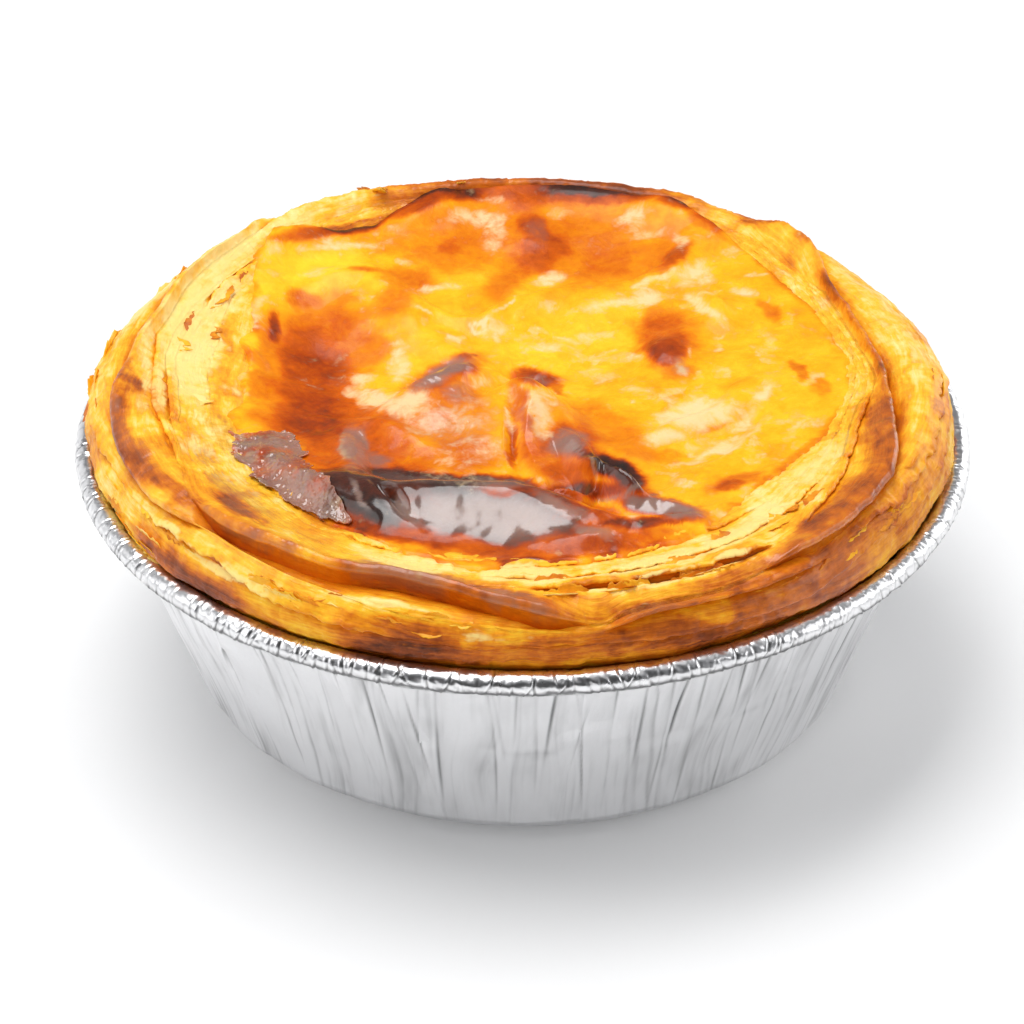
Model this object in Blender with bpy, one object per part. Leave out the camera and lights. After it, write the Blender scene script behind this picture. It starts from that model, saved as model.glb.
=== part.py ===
"""Egg tart in its own foil cup: a flaky pastry case filled with baked custard.

Units are metres, +Z is up, and the origin is the centre of the cup's flat base.
Angles run anticlockwise from +X, seen from above, so the front of the tart is at -90 degrees.
Every shape is a stack of rings round +Z: each ring has its own radius and height at every angle.
"""

import math

import bmesh
import bpy
import numpy as np

MM = 0.001

# Foil cup: the sizes that the other pieces follow.
CUP_RADIUS = 40.0 * MM  # outside of the rolled rim
CUP_HEIGHT = 24.2 * MM
BASE_RADIUS = 29.7 * MM
BASE_CORNER = 2.5 * MM  # radius of the corner between base and wall
BEAD_RADIUS = 1.1 * MM  # the rolled rim's section
WALL_TOP_RADIUS = 37.1 * MM  # outside of the wall, where the rolled rim begins
FOIL = 0.3 * MM
PLEATS = 36
PLEAT_DEPTH = 0.3 * MM
SEGMENTS_PER_PLEAT = 3

# Pastry case and custard.
GAP = 0.3 * MM  # between pieces that touch
BULGE_HEIGHT = 26.6 * MM
NECK_RADIUS = 36.6 * MM  # where the pastry passes inside the foil rim
CREST_INSET = 3.1 * MM  # from the pastry's widest place in to its crest
CRUST_BOTTOM = 5.4 * MM  # thickness of the pastry under the custard
CUSTARD_BASE_RADIUS = 22.0 * MM
PASTRY_SEGMENTS = 84
CUSTARD_SEGMENTS = 60

# Values at the twelve clock positions, every 30 degrees from +X: right, back, left, front.
BULGE_MM = (38.0, 37.0, 37.8, 36.9, 37.9, 37.5, 38.3, 37.8, 38.5, 38.6, 38.4, 38.0)
CREST_HEIGHT_MM = (29.8, 29.7, 30.2, 30.6, 30.7, 30.4, 30.2, 30.3, 30.1, 29.6, 29.9, 30.1)
CUSTARD_EDGE_MM = (28.8, 29.3, 32.5, 33.6, 30.8, 27.2, 24.8, 27.2, 29.6, 29.9, 27.4, 26.9)
CUSTARD_EDGE_HEIGHT_MM = (28.4, 28.4, 28.8, 29.0, 28.6, 27.9, 27.6, 28.2, 29.1, 29.3, 28.6, 28.3)

# Pastry leaves, outermost first: first angle, last angle, place across the crust at both
# (0 at the widest place, 1 at the custard), and how far the leaf's edge stands proud.
LEAVES = (
    (-40.0, 62.0, 0.10, 0.16, 0.9 * MM),
    (-190.0, -72.0, 0.30, 0.17, 1.1 * MM),
    (-78.0, 66.0, 0.30, 0.52, 1.2 * MM),
    (96.0, 232.0, 0.62, 0.44, 0.9 * MM),
    (-120.0, -8.0, 0.74, 0.70, 0.8 * MM),
)
LEAF_EDGE = 0.05  # width of a leaf's raised edge, as a share of the crust
LEAF_TUCK = 0.45  # depth of the crease under an edge, against how far the edge stands proud

# Rises and hollows of the custard's skin: x, y, length, width, direction in degrees, height.
SKIN_FOLDS_MM = (
    (-4.0, -19.0, 13.0, 2.4, -4.0, 1.9),
    (7.5, -15.0, 4.5, 2.6, -35.0, 1.8),
    (-8.5, -1.5, 6.5, 2.8, 35.0, 2.3),
    (1.5, -4.5, 3.0, 4.5, -70.0, 2.0),
    (-17.0, -6.0, 6.5, 6.0, 60.0, -1.9),
    (6.0, 8.0, 13.0, 8.0, 20.0, -2.2),
    (15.0, -8.0, 7.0, 5.0, 50.0, -1.0),
    (-9.0, 14.0, 8.0, 3.5, 20.0, 0.7),
)
CUSTARD_SAG = 1.1 * MM  # how far the middle lies below the edge

FOIL_COLOUR = (0.80, 0.81, 0.83, 1.0)
PASTRY_COLOUR = (0.86, 0.50, 0.14, 1.0)
CUSTARD_COLOUR = (0.92, 0.52, 0.05, 1.0)


def clear_scene():
    for obj in list(bpy.data.objects):
        bpy.data.objects.remove(obj)


def finish(name, colour, roughness, metallic):
    """A Principled material in one colour."""
    material = bpy.data.materials.new(name)
    material.use_nodes = True
    shader = material.node_tree.nodes["Principled BSDF"]
    shader.inputs["Base Color"].default_value = colour
    shader.inputs["Roughness"].default_value = roughness
    shader.inputs["Metallic"].default_value = metallic
    return material


def angles_of(segments):
    return np.arange(segments) * (2 * math.pi / segments)


def round_the_clock(values, angles):
    """Smooth closed curve through values spaced evenly round the circle (Catmull-Rom)."""
    values = np.asarray(values, float)
    place = np.asarray(angles) / (2 * math.pi) * len(values)
    before = np.floor(place).astype(int)
    t = place - before
    a, b, c, d = (values[(before + k) % len(values)] for k in (-1, 0, 1, 2))
    return b + 0.5 * t * (c - a + t * (2 * a - 5 * b + 4 * c - d + t * (3 * (b - c) + d - a)))


def ease(t):
    """0 below 0, 1 above 1, and a smooth step between."""
    t = np.clip(t, 0.0, 1.0)
    return t * t * (3 - 2 * t)


def ring(radii, heights, angles):
    """Points of one ring; radii and heights are numbers or arrays, one value for each angle."""
    radii, heights = np.broadcast_arrays(radii, heights, angles)[:2]
    return np.stack([radii * np.cos(angles), radii * np.sin(angles), heights], axis=1)


def skin_rings(name, rings, material):
    """One closed body: bridged rings, from the middle of the underside out, up and back in."""
    shape = bmesh.new()
    loops = [[shape.verts.new(point) for point in points] for points in rings]
    for lower, upper in zip(loops, loops[1:]):
        for here in range(len(lower)):
            beyond = (here + 1) % len(lower)
            shape.faces.new((lower[here], lower[beyond], upper[beyond], upper[here]))
    caps = [shape.faces.new(loops[0][::-1]), shape.faces.new(loops[-1])]
    bmesh.ops.poke(shape, faces=caps)
    bmesh.ops.recalc_face_normals(shape, faces=shape.faces)
    mesh = bpy.data.meshes.new(name)
    shape.to_mesh(mesh)
    shape.free()
    mesh.shade_smooth()
    mesh.set_sharp_from_angle(angle=math.radians(50))
    mesh.materials.append(material)
    obj = bpy.data.objects.new(name, mesh)
    bpy.context.scene.collection.objects.link(obj)
    return obj


# Foil cup


def wall_radius(height):
    """Outside of the foil wall, which is a straight cone between base corner and rolled rim."""
    slope = (WALL_TOP_RADIUS - BASE_RADIUS) / (CUP_HEIGHT - 2 * BEAD_RADIUS)
    return BASE_RADIUS + slope * height


def foil_cup():
    angles = angles_of(PLEATS * SEGMENTS_PER_PLEAT)
    on_fold = np.arange(len(angles)) % SEGMENTS_PER_PLEAT == 0
    wall_low, wall_high = BASE_CORNER, CUP_HEIGHT - 2 * BEAD_RADIUS

    def wall_ring(height, inset):
        """A ring on the pleated wall: each fold line is pressed in, most at mid height."""
        share = np.clip((height - wall_low) / (wall_high - wall_low), 0, 1)
        pressed = PLEAT_DEPTH * math.sin(math.pi * (0.15 + 0.75 * share)) * on_fold
        return ring(wall_radius(height) - inset - pressed, height, angles)

    corner_middle = BASE_RADIUS - BASE_CORNER
    bead_middle = CUP_RADIUS - BEAD_RADIUS
    bead_height = CUP_HEIGHT - BEAD_RADIUS
    rings = [ring(corner_middle * share, 0.0, angles) for share in (0.5, 1.0)]
    turn = math.radians(40)
    rings.append(
        ring(
            corner_middle + BASE_CORNER * math.sin(turn),
            BASE_CORNER * (1 - math.cos(turn)),
            angles,
        )
    )
    wall_heights = np.linspace(wall_low, wall_high, 3)
    rings += [wall_ring(height, 0.0) for height in wall_heights]
    for turn in np.radians((-130, -65, 0, 65, 130)):
        rings.append(
            ring(
                bead_middle + BEAD_RADIUS * math.cos(turn),
                bead_height + BEAD_RADIUS * math.sin(turn),
                angles,
            )
        )
    rings += [wall_ring(height, FOIL) for height in wall_heights[::-1]]
    rings += [ring(corner_middle * share, FOIL, angles) for share in (1.0, 0.5)]
    return skin_rings("foil_cup", rings, finish("foil", FOIL_COLOUR, 0.3, 1.0))


# Pastry case


def crust_place(across, angles):
    """Radius and height of the plain crust: across is 0 at its widest place and 1 at the custard.

    The outer part is a quarter ellipse from the widest place up to the crest, and the inner part
    is a smooth slope from the crest down to the custard's edge.
    """
    bulge_radius = round_the_clock(BULGE_MM, angles) * MM
    crest_height = round_the_clock(CREST_HEIGHT_MM, angles) * MM
    edge_radius = round_the_clock(CUSTARD_EDGE_MM, angles) * MM
    edge_height = round_the_clock(CUSTARD_EDGE_HEIGHT_MM, angles) * MM
    crest_at = CREST_INSET / (bulge_radius - edge_radius) * 1.5
    crest_at = np.clip(crest_at, 0.2, 0.6)
    rising = np.clip(across / crest_at, 0, 1) * math.pi / 2
    falling = np.clip((across - crest_at) / (1 - crest_at), 0, 1)
    crest_radius = np.maximum(bulge_radius - CREST_INSET, edge_radius + 1.2 * MM)
    radius = bulge_radius - (bulge_radius - crest_radius) * (1 - np.cos(rising))
    radius = radius - (crest_radius - edge_radius) * falling
    height = BULGE_HEIGHT + (crest_height - BULGE_HEIGHT) * np.sin(rising)
    height = height - (crest_height - edge_height) * ease(falling)
    return radius, height


def leaf_place(leaf, angles):
    """Where a leaf's edge lies across the crust, and how far it stands proud, at each angle.

    From its first to its last angle the edge drifts steadily, as the turns of a spiral do. Both
    ends fade out, and over the rest of the circle the place returns with nothing standing proud.
    """
    first, last, from_place, to_place, proud = leaf
    turned = np.mod(np.degrees(angles) - first, 360)
    span = last - first
    along = turned / span
    back = ease((turned - span) / (360 - span))
    place = np.where(along <= 1, along, 1 - back)
    fade = ease(along * 4) * ease((1 - along) * 4)
    return from_place + (to_place - from_place) * place, proud * fade


def pastry_case():
    angles = angles_of(PASTRY_SEGMENTS)
    floor = FOIL + GAP
    clear = FOIL + PLEAT_DEPTH + GAP
    corner_middle = BASE_RADIUS - BASE_CORNER
    rings = [ring(corner_middle * share, floor, angles) for share in (0.5, 0.97)]
    for height in (BASE_CORNER + GAP, 12.0 * MM, 21.0 * MM):
        rings.append(ring(wall_radius(height) - clear, height, angles))
    rings.append(ring(NECK_RADIUS, CUP_HEIGHT - 0.6 * MM, angles))
    widest = crust_place(0.0, angles)
    rings.append(ring(0.5 * (NECK_RADIUS + widest[0]), CUP_HEIGHT + GAP + 0.2 * MM, angles))
    rings.append(ring(*widest, angles))

    for leaf in LEAVES:
        place, proud = leaf_place(leaf, angles)
        for offset, lift in ((-LEAF_EDGE, -LEAF_TUCK), (0.0, 1.0), (LEAF_EDGE, 0.75)):
            radius, height = crust_place(place + offset, angles)
            outward = 0.4 * lift * proud * (1 - place)
            rings.append(ring(radius + outward, height + lift * proud, angles))

    edge_radius, edge_height = crust_place(1.0, angles)
    bottom = floor + CRUST_BOTTOM
    rings.append(ring(edge_radius, edge_height, angles))
    for depth in (0.5, 1.0):
        inner_radius = edge_radius + (CUSTARD_BASE_RADIUS - edge_radius) * depth**1.5
        inner_height = edge_height + (bottom - edge_height) * depth
        rings.append(ring(inner_radius, inner_height, angles))
    rings.append(ring(0.5 * CUSTARD_BASE_RADIUS, bottom, angles))
    return skin_rings("pastry_case", rings, finish("baked_pastry", PASTRY_COLOUR, 0.55, 0.0))


# Custard


def skin_height(x, y, edge_height, across):
    """The custard's skin: sagging from its edge to the middle, with oval folds and hollows.

    Each fold is a bell curve, long along its own direction, and all fade out at the edge.
    """
    height = edge_height - CUSTARD_SAG * (1 - across**2)
    relief = np.zeros_like(height)
    for middle_x, middle_y, length, width, direction, rise in SKIN_FOLDS_MM:
        turn = math.radians(direction)
        along_x = x / MM - middle_x
        along_y = y / MM - middle_y
        along = (along_x * math.cos(turn) + along_y * math.sin(turn)) / length
        aside = (along_y * math.cos(turn) - along_x * math.sin(turn)) / width
        relief = relief + rise * np.exp(-(along**2) - aside**2)
    return height + relief * MM * ease((1 - across) * 5)


def custard():
    angles = angles_of(CUSTARD_SEGMENTS)
    edge_radius, edge_height = crust_place(1.0, angles)
    edge_radius = edge_radius - GAP
    bottom = FOIL + 2 * GAP + CRUST_BOTTOM
    base_radius = CUSTARD_BASE_RADIUS - GAP
    rings = [ring(0.5 * base_radius, bottom, angles), ring(base_radius, bottom, angles)]
    middle_radius = edge_radius + (base_radius - edge_radius) * 0.5**1.5
    rings.append(ring(middle_radius, 0.5 * (edge_height + bottom), angles))
    for across in (1.0, 0.93, 0.84, 0.74, 0.64, 0.54, 0.44, 0.34, 0.24, 0.14, 0.05):
        radius = edge_radius * across
        x, y = radius * np.cos(angles), radius * np.sin(angles)
        rings.append(ring(radius, skin_height(x, y, edge_height, across), angles))
    return skin_rings("custard", rings, finish("custard", CUSTARD_COLOUR, 0.2, 0.0))


def main():
    clear_scene()
    tart = bpy.data.objects.new("egg_tart", None)
    bpy.context.scene.collection.objects.link(tart)
    for piece in (foil_cup(), pastry_case(), custard()):
        piece.parent = tart


main()
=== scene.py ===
"""Egg tart: looks for the foil cup, the flaky pastry and the browned custard."""

import functools
import math

import bpy
import numpy as np
from bpy.props import FloatProperty, FloatVectorProperty, IntProperty, PointerProperty
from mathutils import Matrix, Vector


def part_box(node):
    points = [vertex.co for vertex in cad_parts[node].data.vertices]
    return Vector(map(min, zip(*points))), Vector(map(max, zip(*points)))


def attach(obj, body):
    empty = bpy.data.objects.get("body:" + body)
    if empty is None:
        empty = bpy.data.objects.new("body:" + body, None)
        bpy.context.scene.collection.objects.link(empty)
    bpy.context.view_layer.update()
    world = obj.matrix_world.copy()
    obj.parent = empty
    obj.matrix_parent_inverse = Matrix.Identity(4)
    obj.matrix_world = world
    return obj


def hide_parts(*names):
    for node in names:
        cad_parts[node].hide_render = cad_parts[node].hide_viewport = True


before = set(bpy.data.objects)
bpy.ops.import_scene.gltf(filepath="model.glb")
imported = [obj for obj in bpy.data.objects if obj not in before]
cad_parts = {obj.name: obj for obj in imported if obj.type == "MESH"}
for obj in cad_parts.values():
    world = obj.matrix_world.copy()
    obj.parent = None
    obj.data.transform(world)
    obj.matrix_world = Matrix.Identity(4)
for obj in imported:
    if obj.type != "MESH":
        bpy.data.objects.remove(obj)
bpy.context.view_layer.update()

bl_info = {
    "name": "Egg tart",
    "version": (1, 0, 0),
    "blender": (4, 5, 0),
    "location": "3D View > Sidebar > Egg tart",
    "description": "Builds an egg tart with flaky pastry and browned custard in a foil cup",
    "category": "Add Mesh",
}

CUP_LOW, CUP_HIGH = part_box("foil_cup")
MM = 0.001
TURN = 2 * math.pi


# Curves and noise


def ease(t):
    """0 below 0, 1 above 1, and 3tt - 2ttt between them."""
    t = np.clip(t, 0.0, 1.0)
    return t * t * (3 - 2 * t)


def bell(t):
    """The bell curve exp(-tt)."""
    return np.exp(-np.square(t))


def spline(a, b, c, d, t):
    """Catmull-Rom curve from b to c as t goes from 0 to 1, with a before and d after them."""
    return b + 0.5 * t * (c - a + t * (2 * a - 5 * b + 4 * c - d + t * (3 * (b - c) + d - a)))


def round_the_clock(values, degrees):
    """Smooth closed curve through values spaced evenly round the circle from +X."""
    values = np.asarray(values, float)
    place = np.asarray(degrees, float) / 360 * len(values)
    before = np.floor(place).astype(int)
    four = (values[(before + k) % len(values)] for k in (-1, 0, 1, 2))
    return spline(*four, place - before)


def line_round(pairs, degrees, soft):
    """Closed line through (angle, value) pairs, each bend averaged over soft degrees either way."""
    angles, values = np.array(sorted((angle % 360, value) for angle, value in pairs)).T
    shifts = np.linspace(-soft, soft, 9)
    shares = bell(shifts / (0.5 * soft))
    lines = (np.interp(np.mod(degrees + shift, 360), angles, values, period=360) for shift in shifts)
    return sum(share * line for share, line in zip(shares, lines)) / shares.sum()


def angle_from(degrees, start):
    """How far degrees lies anticlockwise from start, from 0 to 360."""
    return np.mod(degrees - start, 360.0)


def between(degrees, first, last, fade):
    """1 from the angle first round to the angle last, easing to 0 over fade degrees inside."""
    turned = angle_from(degrees, first)
    span = last - first
    inside = ease(turned / fade) * ease((span - turned) / fade)
    return np.where(turned <= span, inside, 0.0)


def away(degrees, middle):
    """Signed angle from middle, from -180 to 180."""
    return np.mod(degrees - middle + 180.0, 360.0) - 180.0


class Noise:
    """Smooth random values in space, from -1 to 1, on a lattice of random numbers."""

    def __init__(self, seed):
        draw = np.random.default_rng(seed)
        self.order = draw.permutation(256)
        self.values = draw.uniform(-1.0, 1.0, 256)

    def corner(self, i, j, k):
        order = self.order
        return self.values[order[(order[(order[i & 255] + j) & 255] + k) & 255]]

    def __call__(self, x, y, z=0.0, wrap=0):
        """Value at x, y, z in cells; with wrap, x repeats after that many cells."""
        x, y, z = np.broadcast_arrays(x, y, z)
        cells = [np.floor(axis).astype(int) for axis in (x, y, z)]
        u, v, w = (
            part * part * (3 - 2 * part)
            for part in (axis - cell for axis, cell in zip((x, y, z), cells))
        )
        total = 0.0
        for i in (0, 1):
            column = cells[0] + i
            if wrap:
                column = np.mod(column, wrap)
            for j in (0, 1):
                for k in (0, 1):
                    share = (u if i else 1 - u) * (v if j else 1 - v) * (w if k else 1 - w)
                    total = total + share * self.corner(column, cells[1] + j, cells[2] + k)
        return total

    def layers(self, x, y, z=0.0, wrap=0, octaves=3, gain=0.5):
        """Sum of octaves, each twice as fine as the last and gain times as strong."""
        total, strength = 0.0, 1.0
        for octave in range(octaves):
            finer = 2**octave
            shift = 17.3 * octave
            total = total + strength * self(x * finer, y * finer + shift, z * finer - shift, wrap * finer)
            strength *= gain
        return total


# Meshes from grids


def add_marks(mesh, marks, shape):
    """Named numbers for every grid point; the points beyond the grid take their mean."""
    for mark, values in marks.items():
        values = np.broadcast_to(values, shape).ravel()
        extra = np.full(len(mesh.vertices) - len(values), values.mean())
        layer = mesh.attributes.new(mark, "FLOAT", "POINT")
        layer.data.foreach_set("value", np.concatenate([values, extra]).astype(np.float32))


def make_mesh(name, rows, marks, wrap_rows=False, poles=(False, False), spread=None):
    """A closed body from a grid of points in millimetres, rows[row, column], joined round its columns.

    Rows run so that an outer wall climbs, which turns its faces outwards. wrap_rows joins the last
    row to the first, as round a tube, and poles close the first and last rows on a centre point.
    marks are named numbers for every grid point. spread is the grid's (across, along) lengths in
    millimetres for the UV map; each is an array on the grid, and across is closed by its seam.
    """
    count, columns = rows.shape[:2]
    points = rows.reshape(-1, 3)
    index = np.arange(count * columns).reshape(count, columns)
    below = index if wrap_rows else index[:-1]
    above = np.roll(index, -1, axis=0) if wrap_rows else index[1:]
    beyond = (below, np.roll(below, -1, axis=1), np.roll(above, -1, axis=1), above)
    quads = np.stack(beyond, axis=-1).reshape(-1, 4)
    fans = []
    for place, wanted in zip((0, -1), poles):
        if not wanted:
            continue
        middle = len(points)
        points = np.vstack([points, rows[place].mean(axis=0)])
        ring, following = index[place], np.roll(index[place], -1)
        pair = (following, ring) if place == 0 else (ring, following)
        fans.append(np.stack([*pair, np.full(columns, middle)], axis=-1))
    corners = np.concatenate([quads.ravel()] + [fan.ravel() for fan in fans])
    sizes = np.concatenate([np.full(len(quads), 4)] + [np.full(len(fan), 3) for fan in fans])
    mesh = bpy.data.meshes.new(name)
    mesh.vertices.add(len(points))
    mesh.vertices.foreach_set("co", (points * MM).astype(np.float32).ravel())
    mesh.loops.add(len(corners))
    mesh.loops.foreach_set("vertex_index", corners.astype(np.int32))
    mesh.polygons.add(len(sizes))
    starts = np.concatenate([[0], np.cumsum(sizes)[:-1]])
    mesh.polygons.foreach_set("loop_start", starts.astype(np.int32))
    mesh.update(calc_edges=True)
    add_marks(mesh, marks, (count, columns))
    if spread is not None:
        across, along = (np.broadcast_to(value, (count, columns)) for value in spread)
        closed = across[:, :1] + (across[:, -1:] - across[:, :1]) * columns / (columns - 1)
        across = np.hstack([across, closed])
        along = np.hstack([along, along[:, :1]])
        low = slice(None) if wrap_rows else slice(None, -1)
        high_across = np.roll(across, -1, axis=0)[low]
        high_along = np.roll(along, -1, axis=0)[low]
        if wrap_rows:
            high_along[-1] = along[-1] + 1.0
        u = (across[low, :-1], across[low, 1:], high_across[:, 1:], high_across[:, :-1])
        v = (along[low, :-1], along[low, 1:], high_along[:, 1:], high_along[:, :-1])
        pairs = np.stack([np.stack(u, axis=-1), np.stack(v, axis=-1)], axis=-1).reshape(-1, 2)
        rest = np.zeros((len(corners) - len(pairs), 2))
        layer = mesh.uv_layers.new(name="along_the_rim")
        flat = (np.vstack([pairs, rest]) / 100.0).astype(np.float32)
        layer.data.foreach_set("uv", flat.ravel())
    mesh.validate()
    mesh.shade_smooth()
    return mesh


def make_strips(name, rows, marks):
    """Closed bodies from rings that aren't joined end to end: rows[body, place round, place along].

    The rings run round a body, so its rows are joined last to first, and both its ends are capped.
    """
    bodies, around, along = rows.shape[:3]
    points = rows.reshape(-1, 3)
    index = np.arange(bodies * around * along).reshape(bodies, around, along)
    above = np.roll(index, -1, axis=1)
    beyond = (index[..., :-1], index[..., 1:], above[..., 1:], above[..., :-1])
    quads = np.stack(beyond, axis=-1).reshape(-1, 4)
    mesh = bpy.data.meshes.new(name)
    caps = index[:, ::-1, 0].tolist() + index[..., -1].tolist()
    mesh.from_pydata((points * MM).tolist(), [], quads.tolist() + caps)
    add_marks(mesh, marks, (bodies, around, along))
    mesh.validate()
    mesh.shade_smooth()
    return mesh


def add_piece(name, mesh, material, slot, *nodes):
    """Puts a finished mesh in the scene, riding on the tart's one body."""
    mesh.materials.append(material)
    piece = bpy.data.objects.new(name, mesh)
    bpy.context.scene.collection.objects.link(piece)
    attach(piece, "root")
    if nodes:
        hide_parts(*nodes)


def angles_round(columns):
    """Evenly spaced angles in degrees, from +X once round."""
    return np.arange(columns) * 360.0 / columns


def ring_points(radius, height, degrees):
    """Points at radius and height, both [row, column] in millimetres, at each column's angle."""
    radius, height, turn = np.broadcast_arrays(radius, height, np.radians(degrees))
    return np.stack([radius * np.cos(turn), radius * np.sin(turn), height], axis=-1)


# Materials


class Value:
    """A number that varies over a surface; arithmetic on it adds Math nodes."""

    def __init__(self, finish, socket):
        self.finish = finish
        self.socket = socket

    def math(self, operation, *numbers):
        node = self.finish.add("ShaderNodeMath", {"operation": operation}, dict(enumerate(numbers)))
        return Value(self.finish, node.outputs[0])

    def __add__(self, other):
        return self.math("ADD", self, other)

    def __radd__(self, other):
        return self.math("ADD", other, self)

    def __sub__(self, other):
        return self.math("SUBTRACT", self, other)

    def __rsub__(self, other):
        return self.math("SUBTRACT", other, self)

    def __mul__(self, other):
        return self.math("MULTIPLY", self, other)

    def __rmul__(self, other):
        return self.math("MULTIPLY", other, self)

    def span(self, low, high, to_low=0.0, to_high=1.0):
        """Smooth step from to_low at low to to_high at high."""
        node = self.finish.add(
            "ShaderNodeMapRange",
            {"interpolation_type": "SMOOTHSTEP"},
            {"Value": self, 1: low, 2: high, 3: to_low, 4: to_high},
        )
        return Value(self.finish, node.outputs[0])


class Finish:
    """A material in the making, with its Principled shader."""

    def __init__(self, name, **constants):
        self.material = bpy.data.materials.new(name)
        self.material.use_nodes = True
        self.tree = self.material.node_tree
        self.shader = self.tree.nodes["Principled BSDF"]
        for socket, value in constants.items():
            self.shader.inputs[socket.replace("_", " ")].default_value = value

    def add(self, kind, settings=None, inputs=None):
        """A node of a kind: settings first, with a ramp's stops among them, then its sockets."""
        node = self.tree.nodes.new(kind)
        for setting, value in (settings or {}).items():
            if setting == "stops":
                steps = node.color_ramp.elements
                while len(steps) < len(value):
                    steps.new(1.0)
                for step, (place, colour) in zip(steps, value):
                    step.position = place
                    step.color = (*colour, 1.0)
            else:
                setattr(node, setting, value)
        for socket, value in (inputs or {}).items():
            self.feed(node.inputs[socket], value)
        return node

    def feed(self, socket, value):
        if isinstance(value, Value):
            value = value.socket
        if isinstance(value, bpy.types.NodeSocket):
            self.tree.links.new(value, socket)
        elif socket.type == "RGBA" and len(value) == 3:
            socket.default_value = (*value, 1.0)
        else:
            socket.default_value = value

    def mark(self, name):
        """A named number that the mesh carries."""
        node = self.add("ShaderNodeAttribute", {"attribute_name": name})
        return Value(self, node.outputs["Fac"])

    def place(self, stretch=(1.0, 1.0, 1.0), uv=False):
        """Where a point is, in metres or on the UV map, stretched along each axis."""
        source = self.add("ShaderNodeTexCoord").outputs["UV" if uv else "Object"]
        node = self.add("ShaderNodeMapping", {}, {"Vector": source, "Scale": stretch})
        return node.outputs[0]

    def noise(self, where, scale, detail, roughness=0.55, distortion=0.0):
        inputs = {"Vector": where, "Scale": scale, "Detail": detail}
        inputs.update({"Roughness": roughness, "Distortion": distortion})
        node = self.add("ShaderNodeTexNoise", {}, inputs)
        return Value(self, node.outputs[0])

    def cells(self, where, scale):
        node = self.add("ShaderNodeTexVoronoi", {}, {"Vector": where, "Scale": scale})
        return Value(self, node.outputs["Distance"])

    def ramp(self, value, stops):
        node = self.add("ShaderNodeValToRGB", {"stops": stops}, {"Fac": value})
        return node.outputs[0]

    def mix(self, first, second, share):
        node = self.add("ShaderNodeMix", {"data_type": "RGBA"}, {"Factor": share, 6: first, 7: second})
        return node.outputs[2]

    def bump(self, height, distance, strength, normal=None):
        inputs = {"Height": height, "Distance": distance, "Strength": strength}
        if normal is not None:
            inputs["Normal"] = normal
        return self.add("ShaderNodeBump", {}, inputs).outputs[0]

    def wear(self, **links):
        """Feeds the Principled shader's sockets."""
        for socket, value in links.items():
            self.feed(self.shader.inputs[socket.replace("_", " ")], value)
        return self.material


def stops(colours, **places):
    """A ramp's stops, as the place of each named colour."""
    return [(place, tuple(getattr(colours, name))) for name, place in places.items()]


def foil_finish(colours, name, grain):
    """Thin rolled aluminium: fine rolling lines and small dents over a soft mirror."""
    foil = Finish(name, Metallic=1.0)
    where = foil.place()
    lines = foil.noise(foil.place((1.0, 1.0, 0.06)), 2600.0, 2.0)
    dents = foil.noise(where, 420.0, 4.0, 0.6)
    clouds = foil.noise(where, 60.0, 2.0)
    tint = tuple(colours.foil)
    # Painted shade and highlights: the shade mark mixes the foil from a dark tint, in the painted creases,
    # crimp grooves and dark band under the rim, up to the full tint on the painted bright lips.
    painted_sheen_and_shade = tuple(0.2 * part for part in tint)
    bright = foil.mark("shade") * (0.9 + clouds * 0.2)
    return foil.wear(
        Base_Color=foil.mix(painted_sheen_and_shade, tint, bright.span(0.1, 1.1)),
        Roughness=0.2 + grain * (0.5 + dents * 0.5) + lines * 0.05,
        Normal=foil.bump(dents * 0.6 + lines * 0.15, 0.00025, 0.5),
    )


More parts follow.
